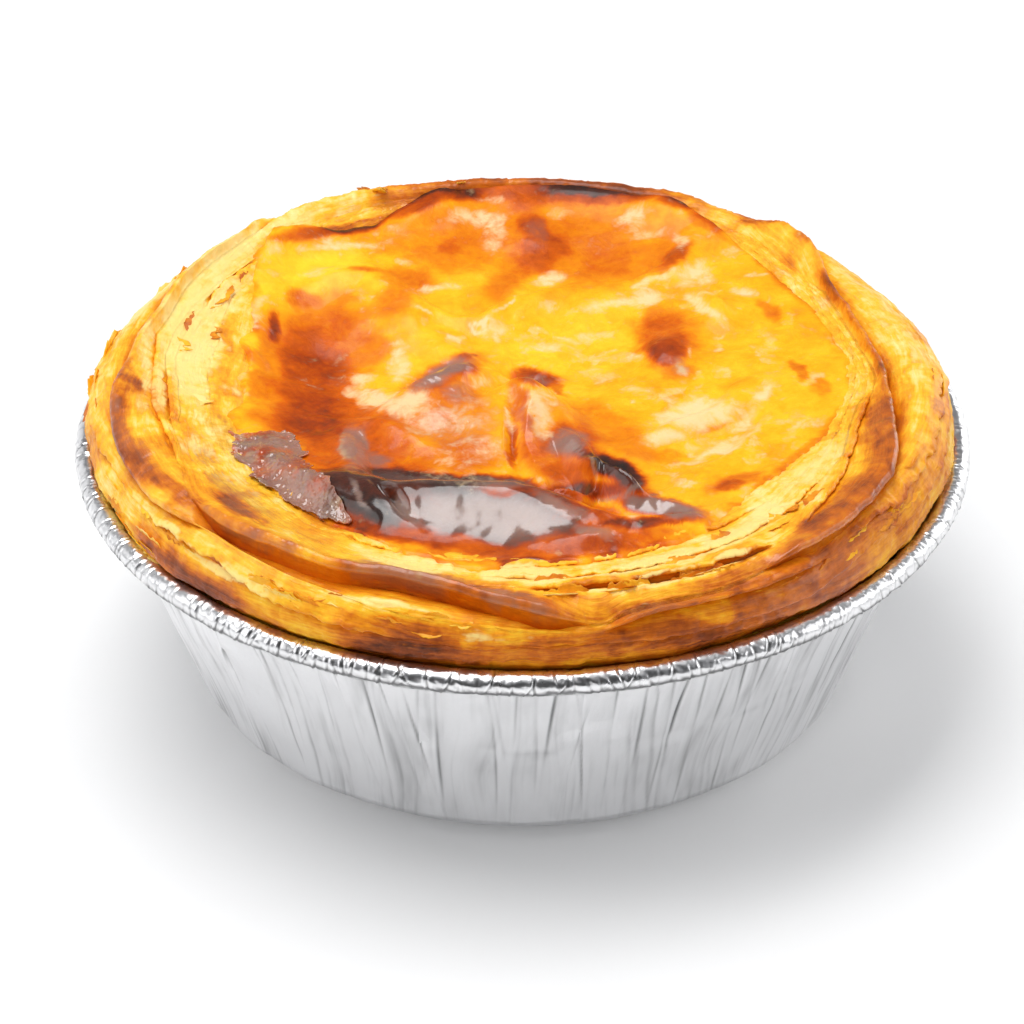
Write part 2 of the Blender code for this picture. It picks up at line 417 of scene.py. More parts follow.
def pastry_finish(colours):
    """Flaky pastry: cream to gold where dry, brown where it bakes, with an amber glow and shade painted
    into the creases.

    The mesh carries bake, from raw to charred, which also darkens deep in the creases as painted shade; a
    crease mark, how deep a place lies between leaves, which paints an amber glow there; dry, how flaky it
    is; a sheen mark, where a purplish brown sheen is painted on for light off browned pastry; and gloss.
    Fibres run along the rim, and crumbs and specks break up the colours.
    """
    pastry = Finish(
        "baked_pastry",
        Subsurface_Weight=0.1,
        Subsurface_Radius=(1.0, 0.45, 0.12),
        Subsurface_Scale=0.0009,
        IOR=1.42,
        Specular_IOR_Level=0.3,
        Coat_Roughness=0.2,
    )
    where = pastry.place()
    fibres = pastry.noise(pastry.place((9.0, 80.0, 1.0), uv=True), 1.0, 4.0, 0.62, 0.25) - 0.5
    strands = pastry.noise(pastry.place((40.0, 300.0, 1.0), uv=True), 1.0, 3.0, 0.6, 0.2) - 0.5
    clouds = pastry.noise(where, 260.0, 3.0, 0.55, 0.3) - 0.5
    crumbs = pastry.noise(where, 900.0, 3.0, 0.6) - 0.5
    specks = pastry.noise(where, 2300.0, 2.0) - 0.5
    marks = (pastry.mark(mark) for mark in ("bake", "soak", "dry", "haze", "gloss"))
    bake, soak, dry, haze, gloss = marks
    streaks = (fibres * 0.62 + strands * 0.42) * (1.1 - gloss * 0.6)
    tone = bake + clouds * 0.55 + streaks + crumbs * (0.3 + dry * 0.3)
    browning = stops(colours, cream=0.0, pale_gold=0.18, gold=0.36, amber=0.55, brown=0.72, char=0.95)
    colour = pastry.ramp(tone, browning)
    # Painted glow and shade: deep creases between leaves are mixed towards a deep amber, standing for light
    # that bounces and shines through there.
    crease_glow = (soak + clouds * 0.5 + fibres * 0.5).span(0.15, 0.8)
    colour = pastry.mix(colour, colours.crease_glow, crease_glow * 0.6)
    flakes = (dry + clouds * 1.6 + fibres * 1.4 + strands * 0.8 - bake * 0.9).span(0.3, 0.75)
    colour = pastry.mix(colour, colours.cream, flakes * 0.85)
    # Painted sheen: where marked, the colour is mixed towards a purplish brown that stands for light off
    # glossy browned pastry.
    painted_sheen_and_shade = (haze + clouds * 0.6 + strands * 0.6 + crumbs * 0.4).span(0.2, 0.95)
    colour = pastry.mix(colour, colours.sheen_mauve, painted_sheen_and_shade * 0.8)
    fine = pastry.bump(specks * 0.2 + crumbs * (0.2 + dry * 0.7), 0.0003, 0.6)
    return pastry.wear(
        Base_Color=colour,
        Roughness=0.46 + dry * 0.25 + crumbs * 0.3 - gloss * 0.1,
        Coat_Weight=gloss * 0.8,
        Normal=pastry.bump(fibres * 0.7 + strands * 0.4 + clouds * 0.4, 0.0006, 0.6, fine),
    )


def custard_finish(colours):
    """Baked custard: a glossy skin from bright yellow through amber to almost black.

    The mesh carries bake, from raw to burnt, a mark for where the skin is thin and pale and where
    highlights are painted on in cream, a sheen mark, where a grey sheen is painted on for light off the
    browned skin, and gloss.
    """
    custard = Finish(
        "baked_custard",
        Subsurface_Weight=0.12,
        Subsurface_Radius=(1.0, 0.4, 0.08),
        Subsurface_Scale=0.0012,
        IOR=1.4,
        Specular_IOR_Level=0.2,
        Coat_Roughness=0.13,
        Coat_IOR=1.78,
    )
    where = custard.place()
    clouds = custard.noise(where, 150.0, 4.0, 0.6, 0.6) - 0.5
    blotches = custard.noise(where, 520.0, 4.0, 0.62, 0.5) - 0.5
    specks = custard.noise(where, 1900.0, 3.0) - 0.5
    bubbles = custard.cells(where, 900.0)
    bake, milk, haze, gloss = (custard.mark(mark) for mark in ("bake", "milk", "haze", "gloss"))
    tone = bake + clouds * 0.16 + blotches * 0.26 + specks * 0.12
    browning = stops(
        colours,
        custard_light=0.0,
        custard=0.2,
        custard_amber=0.38,
        custard_orange=0.55,
        custard_brown=0.7,
        custard_dark=0.84,
        custard_char=1.0,
    )
    colour = custard.ramp(tone, browning)
    # Mixed towards cream where the skin is thin and pale, and where highlights are painted on.
    thin = (milk + clouds * 0.8 + blotches * 1.7 + specks * 0.5).span(0.2, 1.0)
    colour = custard.mix(colour, colours.custard_milk_and_highlight, thin * 0.85)
    # Painted sheen: mixed towards grey where light off the browned skin is painted on.
    painted_sheen_and_shade = (haze + blotches * 0.4 + specks * 0.2).span(0.15, 0.9)
    colour = custard.mix(colour, colours.custard_sheen, painted_sheen_and_shade * 0.8)
    pits = bubbles.span(0.0, 0.35)
    fine = custard.bump(specks * 0.3 + pits * 0.15, 0.0002, 0.5)
    return custard.wear(
        Base_Color=colour,
        Roughness=0.38 + blotches * 0.5,
        Coat_Weight=gloss,
        Normal=custard.bump(clouds * 0.5 + blotches * 0.5, 0.0006, 0.4, fine),
    )


# Pastry: the crust's plain section, and the leaves that step out of it

# Values in mm every 30 degrees from +X, by way of the back, the left and the front.
BULGE = (38.0, 37.0, 37.8, 36.9, 37.9, 37.5, 38.3, 37.8, 38.5, 38.6, 38.4, 38.0)
CREST_HEIGHT = (29.8, 29.7, 30.1, 30.0, 30.5, 30.5, 30.2, 30.3, 30.1, 29.6, 29.9, 30.1)
CUSTARD_EDGE = (28.8, 29.3, 32.5, 33.6, 30.8, 27.2, 24.8, 27.2, 29.6, 29.9, 27.4, 26.9)
CUSTARD_EDGE_HEIGHT = (28.4, 28.4, 28.8, 29.0, 28.6, 27.9, 27.6, 28.2, 29.1, 29.3, 28.6, 28.3)
RIM = (38.0, 37.8, 37.6, 37.6, 37.7, 38.0, 38.1, 38.3, 38.25, 38.2, 38.25, 38.2)
HIDDEN_RADIUS = 35.9
HIDDEN_LEVEL = 22.2
RIM_LEVEL = 24.4
BULGE_LEVEL = 26.6
SHOULDER_LEVEL = 28.9
CREST_INSET = 3.1
SHOULDER_INSET = 1.1
LEAST_TOP = 1.2  # mm from the custard's edge out to the crest, at least
INNER_FALL = 0.42  # share of the fall from crest to custard that comes before station 5
TUCK_IN, TUCK_DOWN = 1.0, 2.5  # mm from station 6 to station 7, under the custard
LAST_STATION = 7.0
CRUST_RADIUS = 36.0  # mm, about the middle of the crust, to turn angles into lengths
SOFT_BENDS = 3.0  # degrees either way over which an edge's bends are averaged


def crust_section(degrees):
    """Radius and height of the plain crust's eight stations at each angle.

    Station 0 hides inside the cup, 1 is level with the foil rim, 2 the widest place, 3 the outer
    shoulder, 4 the crest, 5 halfway in, 6 the custard's edge, and 7 lies under the custard.
    """
    bulge = round_the_clock(BULGE, degrees)
    crest_height = round_the_clock(CREST_HEIGHT, degrees)
    edge = round_the_clock(CUSTARD_EDGE, degrees)
    edge_height = round_the_clock(CUSTARD_EDGE_HEIGHT, degrees)
    crest = np.maximum(bulge - CREST_INSET, edge + LEAST_TOP)
    rim = round_the_clock(RIM, degrees)
    hidden = np.full_like(rim, HIDDEN_RADIUS)
    radii = [hidden, rim, bulge, bulge - SHOULDER_INSET, crest, (crest + edge) / 2, edge, edge - TUCK_IN]
    inner = crest_height - INNER_FALL * (crest_height - edge_height)
    level = np.ones_like(bulge)
    heights = [HIDDEN_LEVEL * level, RIM_LEVEL * level, BULGE_LEVEL * level, SHOULDER_LEVEL * level]
    heights += [crest_height, inner, edge_height, edge_height - TUCK_DOWN]
    return np.stack(radii), np.stack(heights)


def crust_place(place, degrees):
    """Points of the plain crust at fractional stations: a Catmull-Rom curve through each section."""
    radii, heights = crust_section(degrees)
    place = np.clip(place, 0.0, LAST_STATION - 1e-6)
    before = np.floor(place).astype(int)
    t = place - before
    last = len(radii) - 1
    picks = [np.clip(before + k, 0, last) for k in (-1, 0, 1, 2)]
    radius = spline(*(np.take_along_axis(radii, pick, axis=0) for pick in picks), t)
    height = spline(*(np.take_along_axis(heights, pick, axis=0) for pick in picks), t)
    return radius, height


def leaf(track, points, lift, tuck, reach, roof, lip, fade=10.0, torn=0.12, dip=1.6):
    """A pastry leaf: its edge runs through points, (angle, station) pairs in order of angle.

    lift is how far the edge stands proud, tuck and reach the depth and width of the crease under
    it, roof how far the edge hangs out over that crease, lip half its thickness, and torn how
    ragged it is, all in mm. It fades in and out over fade degrees. A low dip widens the crease.
    """
    sizes = dict(lift=lift, tuck=tuck, reach=reach, roof=roof, lip=lip, torn=torn, dip=dip)
    return dict(track=track, points=points, fade=fade, sizes=sizes)


LEAVES = (
    leaf(  # hem front
        1, ((-152, 1.05), (-128, 0.95), (-105, 1.15), (-84, 1.3)),
        0.12, 0.05, 0.5, 0.08, 0.1,
    ),
    leaf(1, ((-82, 1.3), (-66, 1.4), (-46, 1), (-28, 1)), 0.15, 0.06, 0.5, 0.1, 0.12),  # hem right
    leaf(1, ((-24, 1), (10, 1.3), (48, 1.1)), 0.2, 0.15, 0.5, 0.2, 0.15),  # hem side
    leaf(1, ((54, 1.1), (95, 1.3), (140, 1)), 0.2, 0.15, 0.5, 0.2, 0.15),  # hem back
    leaf(  # hem left
        1, ((146, 1), (165, 1.3), (180, 1.2), (204, 1.05)),
        0.4, 0.4, 0.7, 0.3, 0.18, torn=0.35,
    ),
    leaf(  # scorched
        2, ((-150, 2.35), (-131, 2.42), (-119, 2.1), (-103, 1.8)),
        0.4, 0.4, 0.9, 0.25, 0.22, torn=0.3,
    ),
    leaf(2, ((-84, 1.9), (-64, 1.75), (-52, 1.7), (-45, 2), (-38, 2.2)), 0.35, 0.5, 1, 0.3, 0.2),  # lens
    leaf(2, ((-34, 1.9), (-24, 2), (-4, 2.5), (22, 2.4), (44, 2)), 0.4, 0.5, 1, 0.3, 0.2),  # right outer
    leaf(2, ((50, 2), (75, 2.4), (110, 2.2), (140, 2)), 0.4, 0.4, 0.9, 0.3, 0.2),  # back outer
    leaf(  # left outer
        2, ((146, 1.9), (165, 2.3), (188, 2.2), (204, 2.3)),
        0.4, 0.5, 0.9, 0.3, 0.2, torn=0.3,
    ),
    leaf(  # left band
        3, ((128, 3.5), (150, 3.8), (165, 4), (180, 3.85), (190, 3.5), (201, 3), (213, 2.8), (226, 3.15)),
        0.9, 0.7, 1.6, 0.35, 0.45, torn=0.04,
    ),
    leaf(  # tip arm
        3, ((-81, 2.3), (-73, 2.62), (-62, 2.5), (-50, 2.5)),
        0.75, 0.8, 1.3, 0.4, 0.13, 4, 0.05,
    ),
    leaf(3, ((-44, 2.75), (-28, 2.9), (-14, 3), (6, 3.1)), 0.4, 0.5, 1, 0.3, 0.2, torn=0.35),  # right torn
    leaf(  # left inner
        4, ((166, 4.2), (185, 4.42), (200, 4.36), (212, 4.25)),
        0.3, 0.15, 0.8, 0.15, 0.2, 8, 0.12,
    ),
    leaf(  # front ridge
        4,
        (
            (-141, 3.7), (-134, 3.5), (-124, 3.6), (-115, 3.65), (-107, 4.1), (-100, 3.85), (-90, 3.1),
            (-81, 2.46),
        ),
        0.9, 1.8, 2.9, 0.6, 0.5, 7, 0.04, 0.7,
    ),
    leaf(  # right band
        4,
        (
            (-60, 3.05), (-45, 3.15), (-31, 3.45), (-20, 4.15), (-8, 4.6), (8, 4.9), (18, 4.9), (28, 4.6),
            (38, 3.8), (52, 3.2),
        ),
        1.1, 0.8, 1.6, 0.4, 0.4, 8, 0.08,
    ),
    leaf(  # back ridge
        4, ((56, 3.3), (70, 3.5), (95, 3.6), (120, 3.8), (138, 4)),
        0.5, 0.5, 1.1, 0.3, 0.25, torn=0.2,
    ),
    leaf(5, ((178, 4.6), (188, 4.65), (200, 4.62)), 0.35, 0.2, 0.6, 0.2, 0.15, 6, 0.12),  # left thread
    leaf(  # torn front
        5, ((-90, 4.1), (-84, 4.05), (-76, 3.98), (-70, 3.92), (-60, 3.92), (-54, 4)),
        0.4, 0.55, 0.7, 0.15, 0.16, 4, 0.25,
    ),
    leaf(  # right leaf
        5, ((-50, 4.05), (-43, 4.25), (-36, 4.45), (-29, 4.7), (-18, 5.1), (-6, 5.2)),
        0.35, 0.2, 0.7, 0.2, 0.16, 6, 0.2,
    ),
    leaf(  # front leaf
        6, ((-96, 4.8), (-86, 4.7), (-80, 4.6), (-68, 4.5), (-56, 4.55), (-46, 4.75), (-34, 5)),
        0.2, 0.15, 0.6, 0.15, 0.12, 6, 0.3,
    ),
    leaf(6, ((140, 4.3), (150, 4.4), (160, 4.5)), 0.35, 0.3, 0.7, 0.2, 0.15, 5, 0.25),  # left flake
    leaf(  # lip right
        7, ((-30, 5.5), (0, 5.7), (30, 5.6), (60, 5.7)),
        0.05, 0.03, 0.6, 0.05, 0.04, torn=0.2,
    ),
    leaf(7, ((66, 5.7), (95, 5.6), (140, 5.3)), 0.1, 0.1, 0.6, 0.1, 0.12, torn=0.3),  # lip back
    leaf(7, ((150, 5.2), (170, 5.3), (190, 5.4)), 0.08, 0.05, 0.6, 0.08, 0.06, torn=0.3),  # lip left
    leaf(  # lip front
        7, ((-125, 5.5), (-110, 5.5), (-80, 5.3), (-45, 5.3)),
        0.12, 0.15, 0.7, 0.1, 0.12, torn=0.3,
    ),
)
TRACKS = 7
CRUST_COLUMNS = 1500
FACE_ROWS = (5, 12, 10, 12, 8, 8, 12, 10)
LIP_TURNS = (-80.0, -40.0, 0.0, 40.0, 80.0)
EDGE_STEP = 0.011
ROOF_BACK = 1.1  # mm behind an edge over which its roof slides out
LEAST_FACE = 0.16  # stations between two edges, at least
FULL_LEAF = 0.4  # mm of lift or tuck at which a leaf counts in full
STATION_LENGTH = 3.0  # mm of crust from one station to the next, roughly
TRACK_SPREAD = 20.0  # mm that part the grain of one face from the next on the UV map


def track_values(track, degrees):
    """Where a track's edge lies, and its leaves' sizes, at each angle.

    The place is the line through the points of all of its leaves, closed round the circle, and
    softened over a few degrees. Each size is the leaf's own, eased out at both of its ends.
    """
    leaves = [one for one in LEAVES if one["track"] == track]
    place = line_round([point for one in leaves for point in one["points"]], degrees, SOFT_BENDS)
    sizes = {key: np.zeros(len(degrees)) for key in leaves[0]["sizes"]}
    for one in leaves:
        share = between(degrees, one["points"][0][0], one["points"][-1][0], one["fade"])
        for key in sizes:
            sizes[key] += share * one["sizes"][key]
    sizes["reach"] = np.maximum(sizes["reach"], 0.4)
    sizes["dip"] = np.maximum(sizes["dip"], 0.6)
    return place, sizes


def crust_rows(columns):
    """The whole crust as rows of stations and displacements, tied to each leaf's edge.

    Between two edges the surface falls away from the first one's lift and sinks to the crease under
    the second. At an edge it turns back under the roof, round the lip and on to the next face.
    """
    degrees = angles_round(columns)
    ragged = Noise(11)
    places, sizes = [np.zeros(columns)], []
    for track in range(1, TRACKS + 1):
        place, size = track_values(track, degrees)
        turned = degrees / 360
        frayed = ragged.layers(turned * 150, 3.1 * track, wrap=150, octaves=4, gain=0.7)
        chips = np.abs(ragged(turned * 70, 5.3 * track, wrap=70))
        size["torn"] = size["torn"] * (frayed + 1.2 * chips)
        place = place + (size["roof"] + 0.5 * size["lift"]) / STATION_LENGTH
        size["lift"] = size["lift"] * (1 + 0.3 * ragged(turned * 36, 9.7 * track, wrap=36))
        place = place + 0.06 * ragged.layers(turned * 30, 7.7 * track, wrap=30, octaves=2)
        places.append(np.maximum(place, places[-1] + LEAST_FACE))
        sizes.append(size)
    places.append(np.full(columns, LAST_STATION))
    plain = {key: np.zeros(columns) for key in sizes[0]}
    plain["reach"] = plain["dip"] = np.ones(columns)
    sizes = [plain, *sizes, plain]
    flat = np.zeros(columns)
    rows = []
    for track in range(TRACKS + 1):
        here = places[track] + (EDGE_STEP * (len(LIP_TURNS) + 2) if track else 0.0)
        there, size, following = places[track + 1], sizes[track], sizes[track + 1]
        ends = [crust_place(place[None], degrees) for place in (here, there)]
        width = np.hypot(ends[0][0] - ends[1][0], ends[0][1] - ends[1][1])[0]
        for step in np.linspace(0.0, 1.0, FACE_ROWS[track]):
            f = step - 0.1 * np.sin(TURN * step)
            crease = np.clip(1 - (1 - f) * width / following["reach"], 0, 1) ** following["dip"]
            back = np.clip(1 - f * width / ROOF_BACK, 0, 1) ** 2
            rows.append(
                dict(
                    place=here + f * (there - here),
                    out=size["lift"] * (1 - f) ** 1.5 - following["tuck"] * crease,
                    slide=(size["roof"] + size["torn"]) * back,
                    track=flat + track,
                    from_edge=f * width,
                    crease=crease * ease(following["tuck"] / FULL_LEAF),
                    lip=ease(size["lift"] / FULL_LEAF),
                )
            )
        if track == TRACKS:
            break
        thick = np.minimum(following["lip"], (following["lift"] + following["tuck"]) / 2)
        shared = dict(track=flat + track + 1, from_edge=flat)
        strength = ease(following["lift"] / FULL_LEAF)
        under = following["lift"] - 2 * thick
        turns = [(-following["tuck"], -0.3 * following["roof"], 1.0)]
        turns.append((under, 0.2 * following["roof"], 0.8))
        for turn in np.radians(LIP_TURNS):
            out = following["lift"] - thick + thick * np.sin(turn)
            slide = following["roof"] + following["torn"] + thick * np.cos(turn)
            turns.append((out, slide, 0.5 * (1 - np.sin(turn)) * 0.7))
        for number, (out, slide, depth) in enumerate(turns):
            place = there + EDGE_STEP * (number + 1)
            crease = depth * ease(following["tuck"] / FULL_LEAF) + flat
            rows.append(dict(place=place, out=out, slide=slide, crease=crease, lip=strength, **shared))
    grid = {key: np.stack([row[key] for row in rows]) for key in rows[0]}
    grid["degrees"] = degrees
    return grid


def crust_surface(grid):
    """Points of the crust: the plain section moved out along its normal and back along itself."""
    degrees, place = grid["degrees"], grid["place"]
    radius, height = crust_place(place, degrees)
    further = crust_place(np.minimum(place + 0.02, LAST_STATION - 1e-4), degrees)
    nearer = crust_place(np.maximum(place - 0.02, 0.0), degrees)
    run, climb = further[0] - nearer[0], further[1] - nearer[1]
    length = np.maximum(np.hypot(run, climb), 1e-6)
    run, climb = run / length, climb / length
    out, slide = grid["out"], grid["slide"]
    radius = radius + climb * out - run * slide
    return ring_points(radius, height - run * out - climb * slide, degrees)


# Patches of tone, mostly the pastry's own browning with some painted shade, as under the arm at the front
# right, laid over one another in this order: angle, station, half width in degrees, half width in stations,
# slant in stations per degree, tone, and cover.
PASTRY_TONES = (
    (90, 0.9, 200, 0.7, 0, 0.42, 0.6),
    (-80, 1.6, 42, 0.95, 0, 0.54, 0.85),
    (-85, 0.7, 62, 0.45, 0, 0.42, 0.85),
    (-158, 1.4, 9, 1.3, 0, 0.12, 0.8),
    (-137, 1.3, 12, 0.85, 0, 0.74, 0.95),
    (-119, 1.6, 6, 0.8, 0, 0.3, 0.85),
    (-104, 1.5, 9, 0.75, 0, 0.77, 0.95),
    (-105, 2.35, 9, 0.3, 0, 0.6, 0.85),
    (-108, 3.05, 9, 0.22, 0, 0.16, 0.85),
    (-135, 2.45, 14, 0.25, 0, 0.16, 0.85),
    (-86, 1.7, 9, 0.7, 0, 0.56, 0.8),
    (-93, 2.3, 6, 0.25, 0, 0.3, 0.8),
    (-70, 1.6, 8, 0.6, 0, 0.61, 0.8),
    (-66, 2.15, 15, 0.36, 0, 0.66, 0.93),
    (-66, 2.2, 2.4, 0.16, 0, 0.2, 0.85),
    (-53, 1.5, 12, 0.95, 0, 0.65, 0.97),
    (-36, 1.4, 8, 0.8, 0, 0.42, 0.8),
    (-44, 2.7, 18, 0.5, 0, 0.6, 0.9),
    (-16, 2.6, 12, 1, 0.03, 0.46, 0.85),
    (8, 3.8, 24, 1, 0, 0.17, 0.85),
    (-11, 3.2, 4, 0.35, 0, 0.6, 0.7),
    (0, 1.3, 6, 0.35, 0, 0.62, 0.8),
    (11, 3, 2.2, 0.8, 0, 0.45, 0.7),
    (51, 3.5, 6.5, 0.9, 0, 0.6, 0.9),
    (22, 5.15, 20, 0.2, -0.004, 0.42, 0.8),
    (25, 5.7, 25, 0.35, 0, 0.22, 0.8),
    (90, 3.6, 30, 1, 0, 0.14, 0.8),
    (140, 3.2, 32, 1.6, 0, 0.05, 0.9),
    (98, 4.6, 16, 1.1, 0, 0.72, 0.93),
    (76, 4.4, 14, 1.2, 0, 0.82, 0.95),
    (124, 5.35, 12, 0.3, -0.06, 0.66, 0.9),
    (172, 4.12, 12, 0.1, 0, 0.52, 0.8),
    (172, 1, 8, 0.35, -0.02, 0.55, 0.8),
    (165, 5, 28, 0.5, 0, 0.08, 0.85),
    (172, 5.55, 25, 0.15, 0, 0.42, 0.7),
    (192, 1.8, 6, 0.6, 0, 0.4, 0.6),
    (-168, 3.85, 9, 0.2, -0.04, 0.6, 0.95),
    (-155, 3.5, 16, 0.34, 0.01, 0.58, 0.97),
    (-128, 3.75, 16, 0.26, 0, 0.59, 0.93),
    (-105, 4.35, 12, 0.4, 0, 0.64, 0.95),
    (-91, 3.6, 9, 0.26, -0.085, 0.64, 0.95),
    (-79, 2.95, 10, 0.32, 0, 0.62, 0.93),
    (-60, 2.85, 12, 0.3, 0, 0.52, 0.85),
    (-85, 3.5, 5, 0.42, 0, 0.58, 0.95),
    (-76, 3.45, 4, 0.3, 0, 0.24, 0.93),
    (-65, 3.3, 6, 0.3, 0, 0.57, 0.95),
    (-74, 2.9, 10, 0.28, 0, 0.45, 0.9),
    (-148, 4.2, 10, 0.3, 0, 0.4, 0.7),
    (-160, 4.95, 8, 0.25, 0, 0.32, 0.7),
    (-149, 5.1, 7, 0.2, 0, 0.44, 0.7),
    (-72, 3.86, 14, 0.13, 0, 0.03, 0.97),
    (-76, 4.12, 10, 0.08, -0.008, 0.5, 0.9),
    (-81, 4.38, 5, 0.14, 0, 0.42, 0.85),
    (-45, 4.08, 9, 0.14, 0.025, 0.42, 0.9),
    (-120, 5, 30, 0.8, 0, 0.14, 0.8),
    (-137, 4.55, 12, 0.5, 0, 0.4, 0.6),
    (-133, 4.5, 6, 0.35, 0, 0.87, 0.95),
    (-126, 5, 9, 0.5, 0, 0.42, 0.5),
    (-127, 6, 7, 0.3, 0, 0.7, 0.8),
    (-66, 4.9, 28, 0.5, 0.01, 0.03, 0.9),
    (-32, 5.2, 18, 0.5, 0.02, 0.17, 0.85),
    (-44, 3.72, 18, 0.5, 0.025, 0.63, 0.98),
    (-20, 4.5, 12, 0.42, 0.04, 0.6, 0.97),
    (4, 5, 16, 0.24, 0.003, 0.58, 0.92),
    (24, 5, 10, 0.16, -0.02, 0.5, 0.85),
)

# Where the pastry shines: angle, station, the half widths, slant and cover.
PASTRY_GLOSS = (
    (-157, 3.6, 14, 0.4, 0.01, 0.5),
    (-104, 4.35, 12, 0.4, 0, 0.8),
    (-120, 3.9, 14, 0.25, 0, 0.6),
    (-91, 3.6, 8, 0.3, -0.085, 0.6),
    (-45, 3.75, 16, 0.5, 0.025, 0.9),
    (-20, 4.5, 12, 0.4, 0.04, 0.9),
    (5, 5, 16, 0.3, 0.003, 0.7),
    (-52, 1.8, 12, 0.8, 0, 0.8),
    (-130, 4.8, 16, 0.7, 0, 0.6),
    (172, 4.2, 22, 0.3, 0, 0.5),
    (-120, 3.2, 32, 0.4, 0.008, 0.6),
    (-137, 1.4, 12, 0.8, 0, 0.25),
    (90, 5, 34, 0.9, 0, 0.6),
    (15, 3.4, 26, 0.9, 0, 0.4),
    (178, 5.3, 26, 0.7, 0, 0.4),
    (140, 3.6, 30, 1.4, 0, 0.35),
    (-40, 4.9, 40, 0.5, 0.01, 0.3),
)

# Where a purplish brown sheen is painted on, standing for light off glossy browned pastry, in the same
# order.
PASTRY_SHEEN = (
    (-158, 3.6, 13, 0.25, 0.01, 0.45),
    (-169, 3.75, 9, 0.2, -0.04, 0.6),
    (-126, 3.85, 14, 0.16, 0, 0.7),
    (-105, 4.4, 10, 0.26, 0, 0.9),
    (-92, 3.75, 7, 0.16, -0.085, 0.7),
    (-140, 4.95, 15, 0.4, 0, 0.55),
    (-132, 4.5, 6, 0.35, 0, 0.6),
    (-48, 3.6, 12, 0.2, 0.02, 0.2),
    (-16, 4.5, 12, 0.12, 0.03, 0.4),
    (-54, 1.9, 8, 0.4, 0, 0.25),
    (-158, 5.6, 10, 0.3, 0, 0.5),
    (-11, 3.3, 4, 0.4, 0, 0.5),
    (-72, 2.95, 9, 0.1, 0, 0.5),
    (-80, 4.45, 6, 0.12, 0, 0.5),
)

# Where the pastry is dry and crumbles, in the same order.
PASTRY_DRY = (
    (-70, 3.95, 18, 0.25, 0, 1),
    (-78, 2.95, 11, 0.3, 0, 0.45),
    (-66, 4.7, 24, 0.3, 0.01, 0.9),
    (-134, 2.45, 15, 0.3, 0, 0.9),
    (-107, 3.05, 9, 0.2, 0, 0.8),
    (-92, 2.3, 10, 0.3, 0, 0.5),
    (-104, 5, 10, 0.7, 0, 0.7),
    (-90, 4.9, 5, 0.8, 0, 0.9),
    (-150, 5.2, 14, 0.5, 0, 0.6),
    (175, 4.9, 30, 0.9, 0, 0.7),
    (140, 3.3, 34, 1.7, 0, 0.75),
    (20, 3.8, 26, 1, 0, 0.45),
    (10, 5.7, 40, 0.5, 0, 0.4),
    (-30, 5.3, 20, 0.4, 0, 0.5),
    (165, 1.4, 30, 1, 0, 0.5),
)


def patch(degrees, place, angle, station, wide, high, slant):
    """A flat-topped oval patch of the crust, 1 in its middle and 0 outside."""
    turned = away(degrees, angle)
    across = (place - station - slant * turned) / high
    return np.exp(-np.square(np.square(turned / wide) + np.square(across)))


def strongest_patch(degrees, place, patches):
    """The strongest of some patches at each point of the crust."""
    cover = np.zeros(place.shape)
    for angle, station, wide, high, slant, most in patches:
        cover = np.maximum(cover, most * patch(degrees, place, angle, station, wide, high, slant))
    return cover


def crust_looks(grid, points):
    """How baked, dry and glossy each point of the crust is, where shade and glow are painted into its
    creases, and where a sheen is painted on.
    """
    mottled = Noise(23)
    x, y, z = (points[..., axis] for axis in range(3))
    clouds = mottled.layers(x / 4.0, y / 4.0, z / 4.0, octaves=4, gain=0.55)
    degrees = grid["degrees"] + 2.5 * mottled.layers(x / 3.0, y / 3.0, 7.0 + z / 3.0, octaves=4)
    place = grid["place"] + 0.12 * mottled.layers(x / 2.4, y / 2.4, 3.0 + z / 2.4, octaves=4)
    tone = np.full(place.shape, 0.2)
    for angle, station, wide, high, slant, value, cover in PASTRY_TONES:
        share = cover * patch(degrees, place, angle, station, wide, high, slant)
        tone = tone + share * (value - tone)
    tone = tone + 0.08 * clouds
    # Near a leaf's edge the tone turns browner on pale pastry, from the thin edge baking more, and paler on
    # brown pastry, a highlight painted along the lip.
    near = np.exp(-grid["from_edge"] / 0.35) * grid["lip"]
    tone = tone + near * (0.1 - 0.2 * ease((tone - 0.5) / 0.2) + 0.08 * clouds)
    # Painted shade: deep in a crease the tone darkens, and the crease mark, with the risers of the peeled
    # layers, also paints the amber glow.
    tone = tone + ease(grid["crease"] / 0.3) * np.maximum(0.36 - tone, 0) + 0.36 * grid["crease"] ** 4
    soak = np.clip(grid["crease"], 0, 1) + 0.35 * grid["peel"]
    gloss = 0.12 + strongest_patch(degrees, place, PASTRY_GLOSS)
    haze = strongest_patch(degrees, place, PASTRY_SHEEN)
    dry = 0.12 + strongest_patch(degrees, place, PASTRY_DRY)
    dry = dry * (1 - ease(soak))
    looks = dict(bake=tone, soak=soak, dry=dry, haze=haze, gloss=gloss)
    return {name: np.clip(value, 0.0, 1.0) for name, value in looks.items()}


